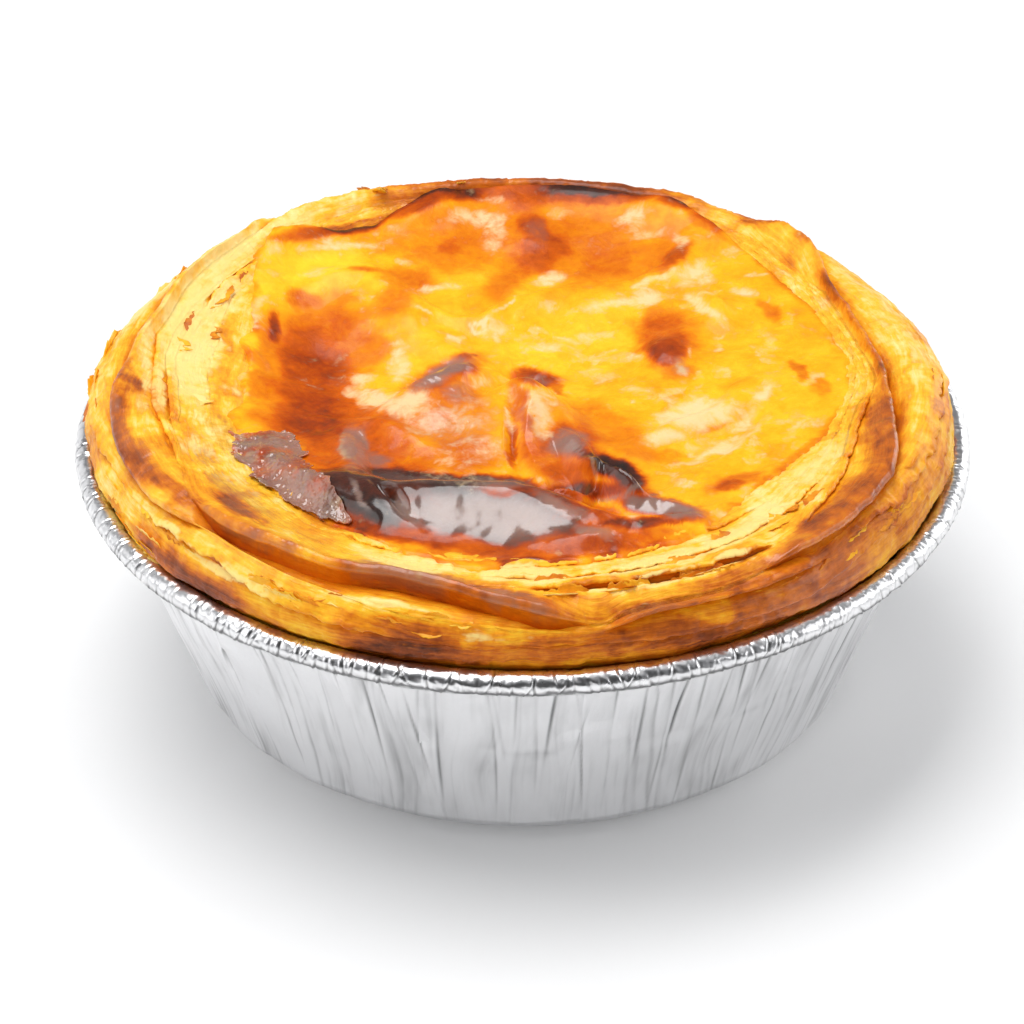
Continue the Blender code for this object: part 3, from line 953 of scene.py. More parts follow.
def crust_relief(grid, points):
    """Small relief in mm: lumps, layers peeled back to ragged steps, and fibres along the rim.

    The peeled layers are a noise cut into flat treads with short risers; peel is 1 on the risers.
    """
    degrees, place = grid["degrees"], grid["place"]
    rough = Noise(5)
    x, y, z = (points[..., axis] for axis in range(3))
    turned = degrees / 360
    smooth = 1 - 0.75 * sum(
        patch(degrees, place, *values[:5]) * values[5] for values in PASTRY_GLOSS
    ).clip(0, 1)
    lumps = rough.layers(x / 3.2, y / 3.2, z / 3.2, octaves=3)
    layered = 2.6 * rough.layers(turned * 40, place * 1.4, 3.3, wrap=40, octaves=4, gain=0.55)
    layered = layered + 2.2 * place
    tread = np.mod(layered, 1.0)
    steps = ease(tread / 0.22) - tread
    peel = bell((tread - 0.09) / 0.07) * smooth
    fibres = rough.layers(turned * 90, place * 9.0, 8.3, wrap=90, octaves=3, gain=0.6)
    crumbs = np.abs(rough.layers(x / 0.8, y / 0.8, z / 0.8, octaves=2))
    shown = ease(place / 0.8) * (1 - grid["crease"] * 0.8)
    rough_share = 0.3 + strongest_patch(degrees, place, PASTRY_DRY)
    relief = 0.15 * lumps + smooth * (0.15 * steps + 0.05 * fibres) + rough_share * 0.09 * crumbs
    return relief * shown, peel * shown


@functools.lru_cache(maxsize=1)
def crust_body():
    """The crust's rows and points, with its relief."""
    grid = crust_rows(CRUST_COLUMNS)
    relief, grid["peel"] = crust_relief(grid, crust_surface(grid))
    grid["out"] = grid["out"] + relief
    return grid, crust_surface(grid)


def pastry_pieces(material):
    """The visible crust, as an outer and an inner band."""
    grid, points = crust_body()
    degrees = grid["degrees"]
    columns = len(degrees)
    looks = crust_looks(grid, points)
    along = grid["from_edge"] + TRACK_SPREAD * grid["track"]
    across = degrees / 360 * TURN * CRUST_RADIUS
    edge_rows = len(LIP_TURNS) + 2
    split = sum(FACE_ROWS[:4]) + 3 * edge_rows + 3
    radius = np.hypot(points[..., 0], points[..., 1])
    height = points[..., 2]
    for name, rows, insets in (
        ("pastry_outer", slice(0, split), ((-0.3, -1.6), (-0.9, -0.8))),
        ("pastry_inner", slice(split - 1, None), ((0.9, -0.6), (0.0, -2.2))),
    ):
        ends = (rows.stop or 0) - 1, rows.start
        back = ring_points(
            np.stack([radius[end] + inset for end, (inset, _) in zip(ends, insets)]),
            np.stack([height[end] + drop for end, (_, drop) in zip(ends, insets)]),
            degrees,
        )
        body = np.concatenate([points[rows], back])
        hidden = dict(bake=0.4, soak=1.0, dry=0.0, haze=0.0, gloss=0.0)
        marks = {
            mark: np.concatenate([values[rows], np.full((2, columns), hidden[mark])])
            for mark, values in looks.items()
        }
        lengths = np.concatenate([along[rows], along[rows][-1:] + [[1.0], [2.0]]])
        spread = (np.broadcast_to(across, lengths.shape), lengths)
        mesh = make_mesh(name, body, marks, wrap_rows=True, spread=spread)
        add_piece(name, mesh, material, "baked_pastry", "pastry_case")


# Torn flakes: angle, station, how far they scatter either way, how many, and their half length,
# reach across the crust and curl in mm.
FLAKES = (
    (-134, 2.42, 16, 0.08, 20, 1.8, 0.5, 0.35),
    (-158, 1.3, 14, 0.6, 14, 2.2, 0.7, 0.35),
    (-110, 2.5, 14, 0.35, 14, 1.6, 0.5, 0.3),
    (-44, 2.6, 16, 0.25, 20, 2, 0.5, 0.3),
    (-12, 3.1, 16, 0.3, 9, 2, 0.5, 0.3),
    (-72, 3.85, 14, 0.06, 14, 1.6, 0.5, 0.5),
    (-66, 4.7, 26, 0.3, 9, 1.8, 0.6, 0.3),
    (168, 2.2, 22, 0.6, 14, 2.4, 0.9, 0.5),
    (170, 4.8, 24, 0.5, 9, 2, 0.7, 0.3),
    (30, 2.2, 26, 0.5, 9, 2.4, 0.9, 0.4),
    (90, 2.2, 40, 0.5, 10, 2.4, 0.9, 0.4),
    (114, 3.7, 1.2, 0.1, 3, 1.2, 1.7, 1.7),
    (101, 3.7, 1.2, 0.1, 2, 0.9, 1.3, 1.1),
)
FLAKE_ROWS, FLAKE_COLUMNS = 7, 16
FLAKE_SHEET = 0.12


def pastry_flakes(material):
    """Torn flakes: thin closed sheets rooted in the crust along one side, curling up at the other.

    With u from -1 to 1 along the rim and v from 0 at the root to 1 at the free edge, a flake
    reaches v * (1 - uuuu) across the crust and stands proud by its curl times v ** 1.6 * (1 - uuuu),
    both frayed by noise.
    """
    draw = np.random.default_rng(91)
    flakes = []
    for angle, station, wide, high, count, *size in FLAKES:
        spot = draw.uniform(-1, 1, (count, 2)) * (wide, high) + (angle, station)
        size = draw.uniform(0.5, 1.2, (count, 3)) * size
        way = np.where(draw.uniform(size=(count, 1)) > 0.4, 1.0, -1.0)
        flakes.append(np.hstack([spot, size, way, draw.uniform(0.1, 0.6, (count, 1))]))
    angle, station, half, reach, curl, way, tone = np.concatenate(flakes).T[..., None, None]
    bodies, around, along = len(angle), FLAKE_ROWS, FLAKE_COLUMNS
    u, v = np.linspace(-1, 1, along), np.linspace(0, 1, around)[:, None]
    number = np.arange(bodies)[:, None, None] * 7.7
    frayed = Noise(93).layers(u * 4.0, number, octaves=3, gain=0.7)
    outline = (1 - u**4) * (1 + 0.5 * frayed)
    degrees = (angle + way * np.degrees(u * half / CRUST_RADIUS)).ravel()
    place = station + way * v * outline * reach / STATION_LENGTH
    grid, _ = crust_body()
    columns = np.mod(degrees / 360 * len(grid["degrees"]), len(grid["degrees"])).astype(int)
    root = np.repeat(station.ravel(), along)
    nearest = np.abs(grid["place"][:, columns] - root).argmin(axis=0)
    ground = grid["out"][nearest, columns].reshape(bodies, 1, along).mean(axis=2, keepdims=True)
    rise = ground - 0.1 + curl * v**1.6 * (1 - u**4) * (1 + 0.4 * frayed)

    def laid(out):
        flat = [part.transpose(1, 0, 2).reshape(around, -1) for part in (place, out)]
        sheet = dict(degrees=degrees, place=flat[0], out=flat[1], slide=0.0)
        return crust_surface(sheet).reshape(around, bodies, along, 3).transpose(1, 0, 2, 3)

    top, under = laid(rise), laid(rise - FLAKE_SHEET * (1 - 0.4 * v))
    rows = np.concatenate([under[:, ::-1], top], axis=1)
    marks = {"bake": tone, "soak": 0.0, "dry": 0.45, "haze": 0.0, "gloss": 0.2}
    mesh = make_strips("pastry_flakes", rows, marks)
    add_piece("pastry_flakes", mesh, material, "baked_pastry", "pastry_case")


BOWL_COLUMNS = 180
BOWL_LEVEL = 6.0  # mm, the top of its floor
BOWL_DROP = 3.2  # mm from the custard's edge down to the bowl's top


def pastry_bowl(material):
    """The hidden bowl: a thick wall from the cup's floor up to just under the crust."""
    degrees = angles_round(BOWL_COLUMNS)
    edge = round_the_clock(CUSTARD_EDGE, degrees)
    top = round_the_clock(CUSTARD_EDGE_HEIGHT, degrees) - BOWL_DROP
    level = np.ones_like(edge)
    outer = [(13.0, 0.65), (26.0, 0.65), (29.2, 2.9), (31.8, 11.0), (34.6, 19.5), (34.9, 21.5)]
    inner = [(22.6, BOWL_LEVEL), (11.0, BOWL_LEVEL)]
    radii = [r * level for r, _ in outer] + [edge - 0.2, (edge + inner[0][0]) / 2]
    heights = [z * level for _, z in outer] + [top, (top + BOWL_LEVEL) / 2]
    radii += [r * level for r, _ in inner]
    heights += [z * level for _, z in inner]
    rows = ring_points(np.stack(radii), np.stack(heights), degrees)
    marks = {"bake": 0.25, "soak": 0.3, "dry": 0.2, "haze": 0.0, "gloss": 0.0}
    mesh = make_mesh("pastry_bowl", rows, marks, poles=(True, True))
    add_piece("pastry_bowl", mesh, material, "baked_pastry")


# Custard

# Where the skin ends on the crust: (angle, station) pairs.
SKIN_EDGE = (
    (0, 5.9), (25, 5.9), (45, 5.95), (51, 5.9), (58, 5.2), (64, 4.3), (70, 3.75), (100, 3.75), (105, 4.4),
    (109, 5.3), (117, 5.9), (123, 5.6), (128, 4.8), (134, 4.3), (140, 4.7), (147, 5.5), (153, 5.65),
    (159, 6.05), (166, 5.7), (172, 6.1), (179, 5.8), (186, 6.1), (193, 5.85), (201, 6.1), (210, 5.95),
    (240, 6.1), (262, 5.2), (270, 5.5), (285, 5.25), (300, 5.3), (312, 5.9), (330, 5.9),
)
CUSTARD_MIDDLE = (1.0, -8.0)
CUSTARD_SAG = 1.1
CUSTARD_COLUMNS, CUSTARD_ROWS = 750, 126
CUSTARD_BOTTOM = 6.3
SKIN_RAGGED = 0.22  # stations by which the skin's edge wanders

# Rises and hollows: x, y, length, width, direction in degrees, height, all mm.
SKIN_BELLS = (
    (4, 8, 13, 7, 10, -1),
    (-17.5, 4, 5, 11, 5, -1.6),
    (-12, -12.5, 8, 3.5, 0, -0.7),
    (14, -12, 9, 4, 35, -0.8),
    (13.2, 6.5, 2.4, 3.4, 0, 1.2),
    (-2, 22, 6, 4, -20, -0.8),
    (8, 23, 5, 5, -10, -0.8),
    (1.2, 28, 2, 5, 10, 0.4),
    (18, 12, 4, 2.4, 40, 0.8),
    (22, -2, 3, 5, 20, 0.6),
    (3.6, -18, 2, 1.6, 0, -1.2),
    (-21, -15.5, 6, 4, -60, 0.9),
    (13.5, 30.5, 3, 2, -40, 0.6),
    (-8, 30, 5, 2, 15, 0.6),
)

# Folds of the skin: path points (x, y, height), then how far it slopes on its left and right, in
# mm, and how wide its rounded crest is, as a share of the slope.
SKIN_FOLDS = (
    (  # wave
        (
            (-19, -17.8, 0.8), (-15.5, -19.4, 2.4), (-10, -21.8, 3.2), (-4.5, -22.4, 3.4),
            (-0.5, -22.4, 3.3), (3, -24.5, 2.7), (6.4, -26.9, 1.9), (8.8, -27.7, 0.6),
        ),
        4.4, 6.4, 0.36,
    ),
    (((6.5, -25.4, 0.8), (9, -25.2, 1.2), (11.5, -24.5, 1.2), (14.6, -24, 0.6)), 1.2, 2.2, 0.25),  # tail
    (  # lens
        ((8.6, -19.4, 0.3), (10.2, -20, 0.9), (12, -20.6, 1), (13.8, -21.6, 0.8), (15.2, -22.9, 0.2)),
        1.2, 2, 0.12,
    ),
    (  # left hump
        ((-14.5, -6, 0.3), (-11, -4.2, 1.5), (-7.8, -1.6, 2.6), (-5.2, 0.2, 2.7), (-2.6, -1.4, 1)),
        3, 13, 0.25,
    ),
    (  # right hump
        ((-1.9, -4.4, 0.6), (-0.2, -2.9, 2), (1.4, -3.1, 2.3), (3.2, -5.7, 1.4), (4.4, -9, 0.6)),
        2.8, 11, 0.25,
    ),
    (  # curl
        ((4.4, -10.6, 0.8), (5.6, -14, 2), (7.2, -17.6, 2.9), (8.8, -19.8, 2.5), (10.2, -21, 0.5)),
        1.1, 2.2, 0.2,
    ),
    (  # arch
        (
            (1.4, -19.6, 0.3), (3, -20.8, 1.1), (4.8, -20.9, 1.2), (6.1, -19, 1.1), (6.2, -16.8, 0.8),
            (5.2, -15.2, 0.2),
        ),
        0.6, 0.6, 0.3,
    ),
    (((-0.9, -3.6, -0.2), (-1.1, -9.7, -0.8), (-0.9, -12.5, -0.8), (0.6, -17, -0.3)), 1.3, 1, 0.2),  # seam
    (((-12.4, -20.4, -0.4), (-11.4, -22.4, -1.2), (-9.4, -25.4, -0.3)), 0.9, 0.7, 0.2),  # notch
    (((-15.4, -7.5, 0.3), (-14.9, -12, 1), (-14.4, -16.5, 0.7)), 1.6, 2.2, 0.3),  # left roll
    (  # left ledge
        ((-21.6, 16.2, 0.3), (-17.8, 18.4, 0.7), (-14.7, 19.6, 0.7), (-11.5, 15.5, 0.6), (-9.8, 12.1, 0.4)),
        1.8, 3, 0.3,
    ),
    (  # crescent
        (
            (-10.2, 15.4, 0.2), (-9.4, 14, 0.6), (-7.6, 12.6, 0.6), (-4.4, 11.8, 0.6), (-2, 14, 0.6),
            (-0.6, 18, 0.3),
        ),
        0.9, 1.8, 0.3,
    ),
    (((-3, 13, 0.2), (0, 15, 0.6), (3, 17, 0.6), (6, 17.6, 0.2)), 1, 2.6, 0.3),  # back pleat
    (((8.4, 17.6, 0.3), (12, 19.4, 0.8), (14.4, 22, 0.8), (16, 26, 0.3)), 1.2, 2.8, 0.25),  # right pleat
    (((18.8, 10, 0.3), (17.4, 14, 0.7), (15.4, 17.6, 0.3)), 1.4, 1.4, 0.3),  # right crease
    (  # front crease
        ((9.5, -10.5, 0.3), (12.5, -7.5, 0.7), (17, -4.6, 0.7), (20, -0.5, 0.3)),
        1.4, 3.2, 0.3,
    ),
    (  # low crease
        ((13.5, -15.5, 0.3), (17.5, -12.2, 0.6), (20.5, -8.6, 0.6), (22.5, -4.5, 0.2)),
        1.2, 2.6, 0.3,
    ),
    (((-17, -4.4, 0.2), (-13, -6.8, 0.6), (-10, -9.4, 0.5), (-7, -11, 0.2)), 1.2, 2.2, 0.3),  # left wrinkle
)

# Tones and veils lie on a level sheet, and each place of the skin looks them up along this slant,
# y per height, so that they climb the fronts of the folds.
SLANT = 1.54
SHEET_LEVEL = 28.3

# Patches of tone, laid over one another in this order: x, y, half length, half width, direction, tone and
# cover.
SKIN_TONES = (
    (3, 8, 11, 6, 5, 0.12, 0.85),
    (19, 5, 8, 15, 0, 0.19, 0.7),
    (2, 27.5, 17, 7.6, 0, 0.46, 0.85),
    (-19, 19.6, 7.4, 4.6, 15, 0.08, 0.93),
    (6.5, 23, 5.8, 5.8, 0, 0.47, 0.93),
    (-1, 19, 1.9, 5.2, -25, 0.5, 0.88),
    (2.3, 24, 2.4, 4.2, -20, 0.62, 0.93),
    (1.3, 28.6, 1.4, 3.2, 8, 0.64, 0.85),
    (0.2, 34, 2.2, 2.4, 0, 0.58, 0.85),
    (1.5, 36, 13, 2.6, -2, 0.66, 0.93),
    (7.5, 35.6, 5.6, 2, -12, 0.93, 0.98),
    (-7.8, 35.8, 3.8, 2, -10, 0.87, 0.97),
    (7, 34.2, 5, 0.9, -6, 0.6, 0.8),
    (-9.5, 33.4, 3.4, 1.6, 35, 0.68, 0.93),
    (-13.4, 30.6, 3.6, 1.4, 35, 0.62, 0.9),
    (-17.5, 28.1, 3.8, 1.2, 15, 0.68, 0.93),
    (-21.5, 26.8, 3, 1.1, 22, 0.58, 0.9),
    (15, 33.2, 2.2, 1, -30, 0.68, 0.9),
    (17.6, 29.6, 4, 0.8, -60, 0.5, 0.85),
    (12.6, 24, 2, 4.4, -10, 0.44, 0.8),
    (14.6, 23, 0.9, 3.2, -22, 0.64, 0.85),
    (-6.5, 22.5, 3.4, 2.8, 0, 0.42, 0.8),
    (-7, 24.6, 1, 1.8, -10, 0.6, 0.7),
    (-10.6, 18.4, 3.2, 2.4, -25, 0.5, 0.85),
    (-14.6, 20.2, 1.8, 0.6, 5, 0.5, 0.8),
    (-12, 14.6, 1.8, 3, -10, 0.45, 0.75),
    (-17, 13, 4, 3.4, -20, 0.38, 0.8),
    (-20.3, 14.8, 1.8, 1.4, -40, 0.58, 0.85),
    (-18.4, 7, 4.6, 6.6, 8, 0.54, 0.97),
    (-14.2, 5, 1.8, 3.6, -8, 0.42, 0.85),
    (-19.3, 4.4, 2.8, 6, 5, 0.65, 0.9),
    (-23.6, 3, 1.5, 9, 2, 0.44, 0.8),
    (-25.6, 7, 1.5, 14, 0, 0.06, 0.95),
    (-22.8, 9.6, 0.6, 2.8, 6, 0.78, 0.9),
    (-18.6, -1, 4.2, 4.2, 0, 0.66, 0.9),
    (-18.2, -6.8, 4.8, 4.2, -15, 0.73, 0.9),
    (-12.6, -7.2, 4.6, 2.2, -48, 0.57, 0.92),
    (-13, -12, 3.4, 3.8, -10, 0.7, 0.92),
    (-17, -12.5, 2.4, 2.6, 0, 0.64, 0.9),
    (-9.6, -13.6, 2.2, 2.4, 0, 0.57, 0.9),
    (-7, -6, 5.4, 4.8, 0, 0.5, 0.9),
    (-5, -12.4, 3.8, 3.2, 0, 0.56, 0.88),
    (-6.9, 1.2, 4.8, 2, 52, 0.66, 0.93),
    (-4.8, 4.4, 1, 0.5, 30, 0.78, 0.85),
    (-5.8, -2.2, 1.6, 2.4, 10, 0.5, 0.75),
    (-13, -2.4, 1.4, 0.6, -60, 0.5, 0.6),
    (7.8, -8.4, 5.8, 2.2, -55, 0.42, 0.9),
    (2.4, -6, 1.8, 3.4, 8, 0.32, 0.8),
    (-0.1, -4.6, 0.9, 5.4, 3, 0.55, 0.9),
    (-0.9, -11, 0.4, 4, 4, 0.64, 0.85),
    (1.4, 0.5, 2.4, 1.5, -24, 0.73, 0.95),
    (3.2, -1.4, 1.5, 0.5, -52, 0.58, 0.8),
    (0.9, -12, 1.3, 3.4, 5, 0.52, 0.8),
    (3.8, -10.6, 2.8, 3.2, -20, 0.67, 0.92),
    (3.8, -15.2, 2.6, 2, 0, 0.6, 0.95),
    (5.4, -18.2, 3.6, 1.5, 0, 0.84, 0.9),
    (7.8, -15.2, 4.6, 1.6, -52, 0.97, 0.97),
    (-9.4, -16.6, 8.6, 1.5, -6, 0.8, 0.97),
    (-2.2, -17.2, 3.6, 1.4, -4, 0.76, 0.95),
    (2.8, -20, 3.6, 1.5, -36, 0.74, 0.93),
    (-14.6, -18.4, 3, 4.2, 20, 0.92, 1),
    (-11.6, -21.4, 2.2, 3.6, 16, 0.9, 1),
    (-3.2, -22.4, 9.8, 5.1, -14, 0.91, 1),
    (-9, -17.2, 8.6, 2, -8, 0.89, 0.98),
    (-1.8, -18.4, 3.2, 1, -6, 0.68, 0.85),
    (4.6, -21.4, 3.8, 0.9, -30, 0.66, 0.85),
    (7, -21.6, 1.8, 0.8, -30, 0.56, 0.85),
    (11.4, -20.8, 4.2, 1.5, -24, 0.82, 0.95),
    (10.5, -23.4, 3.4, 0.6, 15, 0.72, 0.85),
    (-12, -24.2, 5, 1, -32, 0.68, 0.93),
    (-3.6, -27.2, 6, 1.3, -20, 0.64, 0.93),
    (-5.4, -28.4, 3, 0.5, -22, 0.48, 0.8),
    (8.6, -25.6, 5, 1.3, 18, 0.58, 0.93),
    (4.4, -26.8, 5, 1.5, 5, 0.66, 0.93),
    (9.5, -23.2, 3.6, 0.7, 8, 0.78, 0.93),
    (1.6, -28.4, 2, 0.8, 0, 0.62, 0.8),
    (12.4, -12.6, 2.2, 1, 0, 0.42, 0.8),
    (17.8, -17, 2.8, 1.2, 30, 0.46, 0.85),
    (17.4, -17.6, 1.3, 0.7, 10, 0.64, 0.85),
    (13.6, 7.6, 3.5, 6, 0, 0.42, 0.9),
    (12.9, 7.4, 2.2, 5, 5, 0.6, 0.95),
    (12.8, 5.2, 1.7, 2.8, 5, 0.74, 0.95),
    (14.2, 1.4, 1.5, 1.6, 0, 0.5, 0.7),
    (22.8, 12.6, 0.9, 2.2, 18, 0.44, 0.85),
    (24.6, 1.6, 0.6, 1.8, 10, 0.5, 0.85),
    (26.4, -1.6, 0.8, 1.6, 0, 0.42, 0.8),
    (13.4, -3.6, 2.4, 0.5, 55, 0.36, 0.7),
    (16.4, -8.2, 1.8, 0.5, 25, 0.44, 0.7),
)

# Veils: where the skin is thin and milky, with highlights painted on among them in cream, and where a grey
# sheen is painted on for light off the browned skin: x, y, half length, half width, direction and cover.
SKIN_MILK_AND_HIGHLIGHTS = (
    (-17, 24.8, 4.2, 0.8, 8, 0.8),
    (-24.6, 12, 1, 4, -6, 0.7),
    (-24.8, 0, 0.7, 3.4, 0, 0.6),
    (-19.6, 19.4, 2.6, 0.7, 24, 0.6),
    (-23.6, 23.4, 1.1, 3, -10, 0.7),
    (-12.4, 28, 3.4, 0.7, 28, 0.41),
    (-5, 30.8, 2.8, 1.8, 0, 0.78),
    (-2.4, 27, 1.1, 4.6, -6, 0.66),
    (-3, 34.2, 0.8, 0.9, 0, 0.66),
    (3.5, 31.4, 1.4, 1.7, 0, 0.66),
    (11, 30.4, 1.6, 2.8, 0, 0.78),
    (12, 27.4, 1.7, 1.4, 10, 0.74),
    (15, 31.4, 1.6, 0.6, -20, 0.66),
    (15, 26.4, 0.8, 1.7, 10, 0.61),
    (2.7, 18.6, 1.1, 1.9, -30, 0.85),
    (-8, 16.6, 2.8, 1, 12, 0.8),
    (-8.9, 12.4, 1.6, 0.35, -42, 1),
    (-1.4, 13.8, 2.6, 0.35, 62, 1),
    (-3.6, 10.7, 1.4, 0.35, 40, 1),
    (9.5, 14.2, 4.4, 1.4, 14, 0.9),
    (12.4, 18.4, 3.6, 0.7, 40, 1),
    (16.6, 19.8, 2.2, 2.6, -30, 0.8),
    (17, 12.6, 3.6, 0.8, -60, 0.95),
    (20.6, 16, 1.2, 1.8, 20, 0.7),
    (-11, 3, 1.4, 3.6, -5, 0.9),
    (-14.6, 0.8, 1.5, 1.1, -20, 0.8),
    (-14.2, -3, 1.8, 1.2, -45, 0.9),
    (-10.4, -4.6, 2, 2, 0, 0.7),
    (-6.8, -7, 5.6, 4.2, 0, 0.6),
    (-4.8, -12, 4.2, 4, 0, 0.5),
    (-13, -3.2, 2.8, 1.7, -35, 0.95),
    (-10, -4.2, 3, 2.6, 0, 0.9),
    (1.7, -5.6, 1.2, 4.2, 8, 0.8),
    (-15.2, -11.5, 0.5, 2.6, 5, 0.6),
    (-3.4, -4, 1.4, 2, 0, 0.5),
    (-6.8, -13.4, 1.4, 1.1, 0, 0.7),
    (1.2, -3.6, 0.8, 2, 0, 0.85),
    (-1.2, -7, 0.3, 2.4, 0, 0.9),
    (14.2, 2, 0.6, 2, 0, 0.9),
    (15.2, 5, 0.5, 1.6, 0, 0.7),
    (15.4, -5.6, 4.6, 2.8, 30, 0.95),
    (12.2, -9.8, 2, 1.5, 20, 0.85),
    (17.2, -11.6, 3.8, 0.8, 48, 0.9),
    (19.4, -7, 3.6, 0.8, 62, 0.75),
    (21.6, -2.4, 2.8, 0.7, 68, 0.85),
    (24, -8, 4, 0.6, 66, 0.6),
    (22.6, 6.6, 1, 1.6, 0, 0.6),
    (7, 1, 2.6, 1.6, 0, 0.5),
    (2, 5.6, 2.6, 1.6, 10, 0.5),
    (-2, 8, 2, 1.2, 0, 0.4),
    (6.4, 8, 2, 1.4, 20, 0.45),
    (10.6, -1.6, 1.6, 1.4, 0, 0.5),
)
SKIN_SHEEN = (
    (-7.2, 1, 4.2, 1.5, 52, 0.9),
    (-5.8, -2.4, 1.4, 2.2, 10, 0.5),
    (1.5, 0.2, 1.4, 0.8, -20, 0.5),
    (3.8, -10.8, 1.9, 2.6, -15, 0.8),
    (1.6, 28, 1.2, 3, 5, 0.4),
    (14.2, 2.6, 1, 2.2, 0, 0.5),
    (-14.4, -11.4, 1.3, 4, 8, 0.85),
    (-12.8, -13.6, 1.8, 1.5, 0, 0.6),
    (-8, -16.6, 7, 0.9, -6, 0.45),
    (-1.8, -17.4, 3, 1.1, -6, 0.6),
    (3, -20.8, 3.4, 1.2, -36, 0.8),
    (-13.6, -18.8, 0.5, 2.6, 14, 0.8),
    (-9.6, -21.2, 1.2, 3, 20, 0.8),
    (-3, -22.6, 7.4, 3.5, -14, 0.85),
    (5.6, -24.6, 2.4, 1, -12, 0.7),
    (11.6, -20.7, 3.8, 1.2, -24, 1),
    (9.2, -18.2, 1.4, 0.4, 48, 0.8),
    (7, -19.4, 1.4, 0.5, 20, 0.6),
    (5.8, -14.6, 0.3, 2.2, 8, 0.7),
    (-6, -8, 5, 4.6, 0, 0.35),
    (0.8, -7, 1.6, 4, 0, 0.35),
)


def oval(x, y, middle_x, middle_y, length, width, direction):
    """0 at an oval's middle and 1 on its edge, with its length along its direction."""
    turn = math.radians(direction)
    along = (x - middle_x) * math.cos(turn) + (y - middle_y) * math.sin(turn)
    aside = (y - middle_y) * math.cos(turn) - (x - middle_x) * math.sin(turn)
    return np.hypot(along / length, aside / width)


def path_through(points, count):
    """Catmull-Rom curve through points, as count places along it."""
    knots = np.asarray(points, float)
    knots = np.vstack([2 * knots[0] - knots[1], knots, 2 * knots[-1] - knots[-2]])
    place = np.linspace(0, len(points) - 1 - 1e-9, count)
    before = place.astype(int)
    t = (place - before)[:, None]
    return spline(*(knots[before + k] for k in (0, 1, 2, 3)), t)


def skin_fold(x, y, points, left, right, crest):
    """A ridge along a path, as high as the path says, sloping down over its own width each side.

    With t the distance over the width and r the crest's share of it, each side falls as
    p = 1 - (sqrt(tt + rr) - r) / (sqrt(1 + rr) - r), smoothly held above 0. Every piece of the path
    has such slopes of its own, and they are blended by the 12th power of their nearness.
    """
    path = path_through(points, 26)
    total, shares = np.zeros(x.shape), np.zeros(x.shape)
    for (ax, ay, low), (bx, by, high) in zip(path, path[1:]):
        wx, wy = bx - ax, by - ay
        length = math.hypot(wx, wy)
        share = np.clip(((x - ax) * wx + (y - ay) * wy) / length**2, 0, 1)
        dx, dy = x - ax - share * wx, y - ay - share * wy
        gap = dx * dx + dy * dy + 0.01
        distance = np.sqrt(gap)
        side = (wx * dy - wy * dx) / (length * distance)
        t = distance / (right + (left - right) * ease(side + 0.5))
        fall = 1 - (np.sqrt(t * t + crest**2) - crest) / (math.sqrt(1 + crest**2) - crest)
        near = gap**-6.0
        total += near * (low + share * (high - low)) * (fall + np.sqrt(fall**2 + 0.008)) / 2
        shares += near
    return total / shares


def custard_skin(x, y, rho, edge_height, edge_gap):
    """Height of the skin: it banks down from its edge, sags to the middle, and carries folds."""
    waves = Noise(31)
    bank = ease(1 - edge_gap / 5.0)
    raised = (edge_height - SHEET_LEVEL) * (bank + (1 - bank) * 0.35)
    height = SHEET_LEVEL - CUSTARD_SAG * (1 - rho**2) + raised
    inside = ease(edge_gap / 2.5)
    warp_x = x + 0.4 * waves.layers(x / 4.0, y / 4.0, 9.0, octaves=2)
    warp_y = y + 0.4 * waves.layers(x / 4.0, y / 4.0, 13.0, octaves=2)
    for *place, rise in SKIN_BELLS:
        height = height + rise * bell(oval(warp_x, warp_y, *place)) * inside
    for fold in SKIN_FOLDS:
        height = height + skin_fold(warp_x, warp_y, *fold) * inside
    height = height + 0.22 * waves.layers(x / 5.0, y / 5.0, octaves=2) * inside
    ripples = waves.layers(x / 1.6, y / 1.6, 4.0, octaves=3)
    return height + 0.05 * ripples * inside


def strongest(x, y, veils, edge):
    """The strongest of some veils at each place, flat inside its oval, with a sharper edge for more."""
    cover = np.zeros(x.shape)
    for *place, most in veils:
        cover = np.maximum(cover, most * np.exp(-oval(x, y, *place) ** edge))
    return cover


